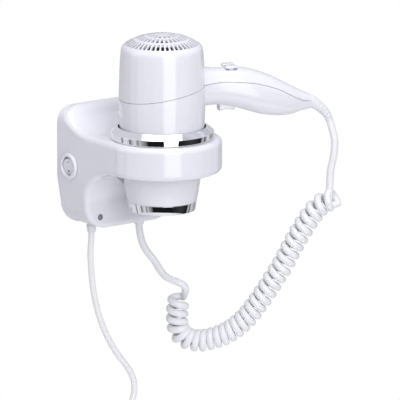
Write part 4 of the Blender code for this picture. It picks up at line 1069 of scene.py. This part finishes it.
plug_low, plug_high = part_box("plug_body")
plug_at = (plug_low + plug_high) / 2.0
plug_half = (plug_high - plug_low) / 2.0
plug_levels = 16
plug = bmesh.new()
bmesh.ops.create_cube(plug, size=2.0)
upright = [edge for edge in plug.edges if abs(edge.verts[0].co.z - edge.verts[1].co.z) > 1.0]
bmesh.ops.bevel(plug, geom=upright, offset=0.75, offset_type="OFFSET", segments=8, profile=0.5,
                affect="EDGES", material=-1)
for level in range(1, plug_levels):
    bmesh.ops.bisect_plane(plug, geom=plug.verts[:] + plug.edges[:] + plug.faces[:],
                           plane_co=(0.0, 0.0, 1.0 - 2.0 * level / plug_levels), plane_no=(0.0, 0.0, 1.0))
for vert in plug.verts:
    share = (1.0 - vert.co.z) / 2.0
    # Shoulders draw in to the boot; a shallow waist half way down takes the fingers.
    shoulders = 0.40 + 0.60 * math.sin(min(1.0, share / 0.62) * math.pi / 2.0) ** 0.75
    waist = 0.055 * math.exp(-((share - 0.80) / 0.10) ** 2)
    thickness = 0.86 + 0.14 * share
    vert.co = (vert.co.x * plug_half.x * (shoulders - waist), vert.co.y * plug_half.y * (thickness - waist),
               vert.co.z * plug_half.z)
bmesh.ops.translate(plug, vec=plug_at, verts=plug.verts)
plug_mesh = smoothed(softened(mesh_of("plug", plug), 0.0007), 40.0)
plug_piece = add_piece("plug_moulding", plug_mesh, soft_white, "root", ("plug_body",))

nickel = Finish("nickel_plate", (0.74, 0.71, 0.65), 0.22, 1.0)
nickel.feed("Roughness", nickel.noise(200.0, 3.0, stretch=(1.0, 1.0, 0.1)) * 0.15 + 0.15)
nickel.relief(nickel.noise(900.0, 2.0, stretch=(1.0, 1.0, 0.05)), 0.000004)
for label in ("plug_pin_1", "plug_pin_2"):
    pin_low, pin_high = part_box(label)
    pin_radius = (pin_high.x - pin_low.x) / 2.0
    pin_outline = rounded([(0.0, pin_high.z), (pin_radius, pin_high.z), (pin_radius - 0.0006, pin_low.z),
                           (0.0, pin_low.z)], [0.0, 0.0, 0.0012, 0.0])
    pin_at = ((pin_low.x + pin_high.x) / 2.0, (pin_low.y + pin_high.y) / 2.0, 0.0)
    pin_mesh = smoothed(turned(label + "_round", pin_outline, pin_at, 40))
    add_piece(label + "_round", pin_mesh, nickel, "root", (label,))

round(length_of(mains_path), 2)

# ------------------------------------------------------------------ wall plate and works
# What the casings hide keeps the frame's own shapes: the moulded wall plate, the circuit
# boards, the motor and fan, the mica heater and the wiring parts, each in its own finish.


def dress(material, *nodes):
    """Gives frame nodes a finish in place of their plain one."""
    for label in nodes:
        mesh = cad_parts[label].data
        mesh.materials.clear()
        mesh.materials.append(material.material)


def metal(name, colour, roughness, along):
    """Drawn or turned metal, with fine tool marks along one axis."""
    finish = Finish(name, colour, roughness, 1.0)
    marks = finish.noise(700.0, 2.0, 0.5, along)
    finish.feed("Roughness", marks * 0.2 + (roughness - 0.08))
    return finish.relief(marks, 0.00001)


def moulded(name, colour, roughness, grain=0.00002):
    """Engineering plastic with a fine spark-eroded grain."""
    finish = Finish(name, colour, roughness)
    patch = finish.noise(25.0, 3.0)
    finish.feed("Base Color", finish.mix(patch, tuple(part * 0.86 for part in colour), colour))
    finish.feed("Roughness", finish.noise(180.0, 3.0) * 0.2 + (roughness - 0.1))
    return finish.relief(finish.noise(1400.0, 2.0), grain)


dress(white_gloss, "wall_plate", "board_post_1", "board_post_2", "board_post_3")
dress(metal("turned_steel", (0.60, 0.60, 0.62), 0.30, (1.0, 1.0, 0.04)),
      "motor_shaft", "motor_can", "cover_screw")
dress(metal("cutout_case", (0.66, 0.65, 0.63), 0.35, (1.0, 0.05, 1.0)), "thermal_cutout")
dress(metal("stamped_brass", (0.78, 0.60, 0.28), 0.30, (0.05, 1.0, 1.0)),
      "switch_tab_1", "switch_tab_2", "switch_tab_3")
dress(moulded("black_nylon", (0.030, 0.030, 0.032), 0.45),
      "switch_body", "fan_rotor", "motor_carrier", "motor_end_cap")
dress(moulded("switch_case", (0.035, 0.034, 0.034), 0.38),
      "heat_switch", "speed_switch", "cool_switch", "suppressor")
dress(moulded("wiring_sleeve", (0.025, 0.025, 0.025), 0.55, 0.00001), "handle_loom")
dress(moulded("grey_nylon", (0.34, 0.34, 0.37), 0.40), "terminal_block", "mains_clamp", "curly_clamp")

# Steel spring that pushes the cool key back out. Its top rests on the switch.
spring_low, spring_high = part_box("key_spring")
spring_at = (spring_low + spring_high) / 2.0
wire_radius = 0.0003
spring_radius = (spring_high.x - spring_low.x) / 2.0 - wire_radius
spring_rise = spring_high.z - spring_low.z - 2.0 * wire_radius
spring_line = []
spring_turns, spring_steps = 4, 20
for step in range(spring_turns * spring_steps + 1):
    share = step / (spring_turns * spring_steps)
    angle = 2.0 * math.pi * step / spring_steps
    level = spring_low.z + wire_radius + spring_rise * share
    spring_line.append(Vector((spring_at.x + spring_radius * math.cos(angle),
                               spring_at.y + spring_radius * math.sin(angle), level)))
spring_wire = metal("spring_wire", (0.52, 0.52, 0.54), 0.25, (1.0, 1.0, 1.0))
spring = add_piece("push_spring", flex("push_spring", spring_line, wire_radius, 3), spring_wire, "handset",
                   ("key_spring",))
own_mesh(spring)

# Glass-reinforced nylon grille in the outlet, browned a little by the heat.
heat_grey = Finish("outlet_nylon", (0.30, 0.29, 0.29), 0.5)
scorch = heat_grey.noise(70.0, 4.0)
heat_grey.feed("Base Color", heat_grey.mix(scorch, (0.20, 0.17, 0.14), (0.33, 0.33, 0.35)))
heat_grey.relief(heat_grey.noise(900.0, 2.0), 0.00003)
dress(heat_grey, "outlet_grille")

# Mica paper: pale gold flakes pressed in layers.
mica = Finish("mica_paper", (0.62, 0.55, 0.42), 0.45, Coat_Weight=0.3)
flakes = mica.node("ShaderNodeTexVoronoi", {}, {"Vector": mica.place, "Scale": 420.0})
mica.feed("Base Color", mica.mix(flakes["Distance"] * 1.4, (0.50, 0.42, 0.28), (0.72, 0.66, 0.52)))
mica.relief(flakes["Distance"], 0.00003)
dress(mica, "heater_sleeve", "heater_board_one", "heater_board_two")

# Resistance ribbon, blued by running hot.
ribbon = Finish("heater_ribbon", (0.42, 0.40, 0.40), 0.35, 1.0)
ribbon.feed("Base Color", ribbon.mix(ribbon.noise(80.0, 2.0), (0.30, 0.30, 0.38), (0.52, 0.46, 0.40)))
dress(ribbon, "heater_winding")

# Solder-resist green laminate with copper tracks showing through as paler lines.
laminate = Finish("board_laminate", (0.04, 0.22, 0.10), 0.35, Coat_Weight=0.4)
tracks = laminate.node("ShaderNodeTexBrick", {"offset": 0.5}, {
    "Vector": laminate.node("ShaderNodeMapping", {}, {
        "Vector": laminate.place, "Rotation": (math.pi / 2.0, 0.0, 0.0)}),
    "Color1": (0.035, 0.20, 0.09, 1.0), "Color2": (0.05, 0.25, 0.11, 1.0), "Mortar": (0.16, 0.36, 0.16, 1.0),
    "Scale": 160.0, "Mortar Size": 0.03})
laminate.feed("Base Color", tracks)
laminate.relief(tracks["Fac"], 0.00003)
dress(laminate, "base_board", "handle_board")

# Woven nylon filter behind the intake slots.
filter_cloth = Finish("filter_mesh", (0.045, 0.045, 0.047), 0.7)
warp, weft = [filter_cloth.node("ShaderNodeTexWave", {"bands_direction": direction},
                                {"Vector": filter_cloth.place, "Scale": 300.0}) for direction in "XY"]
crossing = warp["Fac"] * weft["Fac"]
filter_cloth.feed("Base Color", filter_cloth.mix(crossing, (0.02, 0.02, 0.022), (0.07, 0.07, 0.075)))
filter_cloth.relief(crossing, 0.0001)
dress(filter_cloth, "intake_filter")

# Neon lamp behind the lens.
neon = Finish("neon_glass", (0.55, 0.20, 0.14), 0.15, Coat_Weight=0.6)
neon.feed("Base Color", neon.mix(neon.noise(300.0, 2.0), (0.40, 0.12, 0.08), (0.65, 0.28, 0.20)))
dress(neon, "pilot_lamp")

# ------------------------------------------------------------------ studio
# A pale disc for a floor, a tall soft box on the right that draws one bright band down every
# curved wall, a dim fill on the left, one from above, and a wide one in front that shows in
# no mirror.
floor_shape = bmesh.new()
bmesh.ops.create_circle(floor_shape, cap_ends=True, segments=96, radius=0.75)
bmesh.ops.translate(floor_shape, vec=(0.0, -0.05, cad_box[0][2] - 0.004), verts=floor_shape.verts)
floor_paint = Finish("floor_paint", (0.90, 0.90, 0.91), 0.8)
floor_paint.feed("Roughness", floor_paint.noise(20.0) * 0.1 + 0.75)
add_piece("floor", mesh_of("floor", floor_shape), floor_paint, None)


def soft_box(name, turn, rise, distance, wide, tall, power):
    """An area light on a sphere around the cup, by its turn and rise from the camera's side."""
    data = bpy.data.lights.new(name, "AREA")
    data.shape = "RECTANGLE"
    data.size = wide
    data.size_y = tall
    data.energy = power
    lamp = bpy.data.objects.new(name, data)
    bpy.context.scene.collection.objects.link(lamp)
    heading = view_turn + math.radians(turn)
    climb = math.radians(rise)
    way = Vector((math.sin(heading) * math.cos(climb), -math.cos(heading) * math.cos(climb),
                  math.sin(climb)))
    lamp.location = cup_axis + way * distance
    lamp.rotation_euler = way.to_track_quat("Z", "Y").to_euler()
    return lamp


soft_box("key_box", 20.5, 14.0, 1.5, 0.92, 1.9, 11.0)
soft_box("fill_box", -80.0, 25.0, 1.6, 0.9, 1.2, 2.5)
soft_box("top_box", 0.0, 78.0, 1.4, 1.2, 1.2, 11.0)
front_box = soft_box("front_box", 22.0, 16.0, 2.5, 1.6, 1.6, 10.5)
front_box.visible_glossy = False

bpy.context.scene.view_settings.view_transform = "Standard"
world = bpy.data.worlds.new("white_studio")
world.use_nodes = True
bpy.context.scene.world = world
sky = Nodes(world.node_tree)
sky.tree.nodes.remove(sky.tree.nodes["Background"])

# The room behind the lamps. What lights the object is even; what plated metal mirrors has
# dark and bright panels around it, by their turn in degrees, and a pale ceiling.
heading = sky.node("ShaderNodeTexCoord", {}, {})["Generated"]
level_back = Vector((camera_back.x, camera_back.y, 0.0)).normalized()
across, ahead, height = [
    sky.node("ShaderNodeVectorMath", {"operation": "DOT_PRODUCT"}, {0: heading, 1: way})["Value"]
    for way in (camera_right, level_back, Vector((0.0, 0.0, 1.0)))]
around = across.combine("ARCTAN2", ahead).combine("DIVIDE", 2.0 * math.pi) + 0.5
panel_stops = [(-180, 0.55), (-130, 0.75), (-104, 0.80), (-100, 0.10), (-94, 0.85), (-80, 0.70), (-76, 0.12),
               (-70, 0.55), (-62, 0.80), (-56, 0.25), (-50, 0.60), (-44, 0.35), (-36, 0.20), (-31, 0.012),
               (36, 0.010), (70, 0.045), (96, 0.010), (104, 0.60), (110, 0.05), (122, 0.85), (140, 0.30),
               (165, 0.60)]
panels = sky.node("ShaderNodeValToRGB", {"stops": [((turn + 180.0) / 360.0, (shade, shade, shade * 1.03))
                                                   for turn, shade in panel_stops]}, {0: around})
ceiling = sky.node("ShaderNodeMapRange", {"interpolation_type": "SMOOTHSTEP"},
                   {0: height, 1: 0.02, 2: 0.30, 4: 0.80})
mirrored = sky.mix(ceiling, panels, (0.72, 0.72, 0.80))
glossy = sky.node("ShaderNodeBackground", {}, {"Color": mirrored})
room = sky.node("ShaderNodeBackground", {}, {"Color": (0.93, 0.94, 1.0, 1.0), "Strength": 0.42})
white = sky.node("ShaderNodeBackground", {}, {"Color": (1.0, 1.0, 1.0, 1.0)})
ray = sky.node("ShaderNodeLightPath", {}, {})
lit = sky.node("ShaderNodeMixShader", {}, {0: ray["Is Glossy Ray"], 1: room, 2: glossy})
shown = sky.node("ShaderNodeMixShader", {}, {0: ray["Is Camera Ray"], 1: lit, 2: white})
sky.tree.links.new(shown.socket, sky.tree.nodes["World Output"].inputs["Surface"])
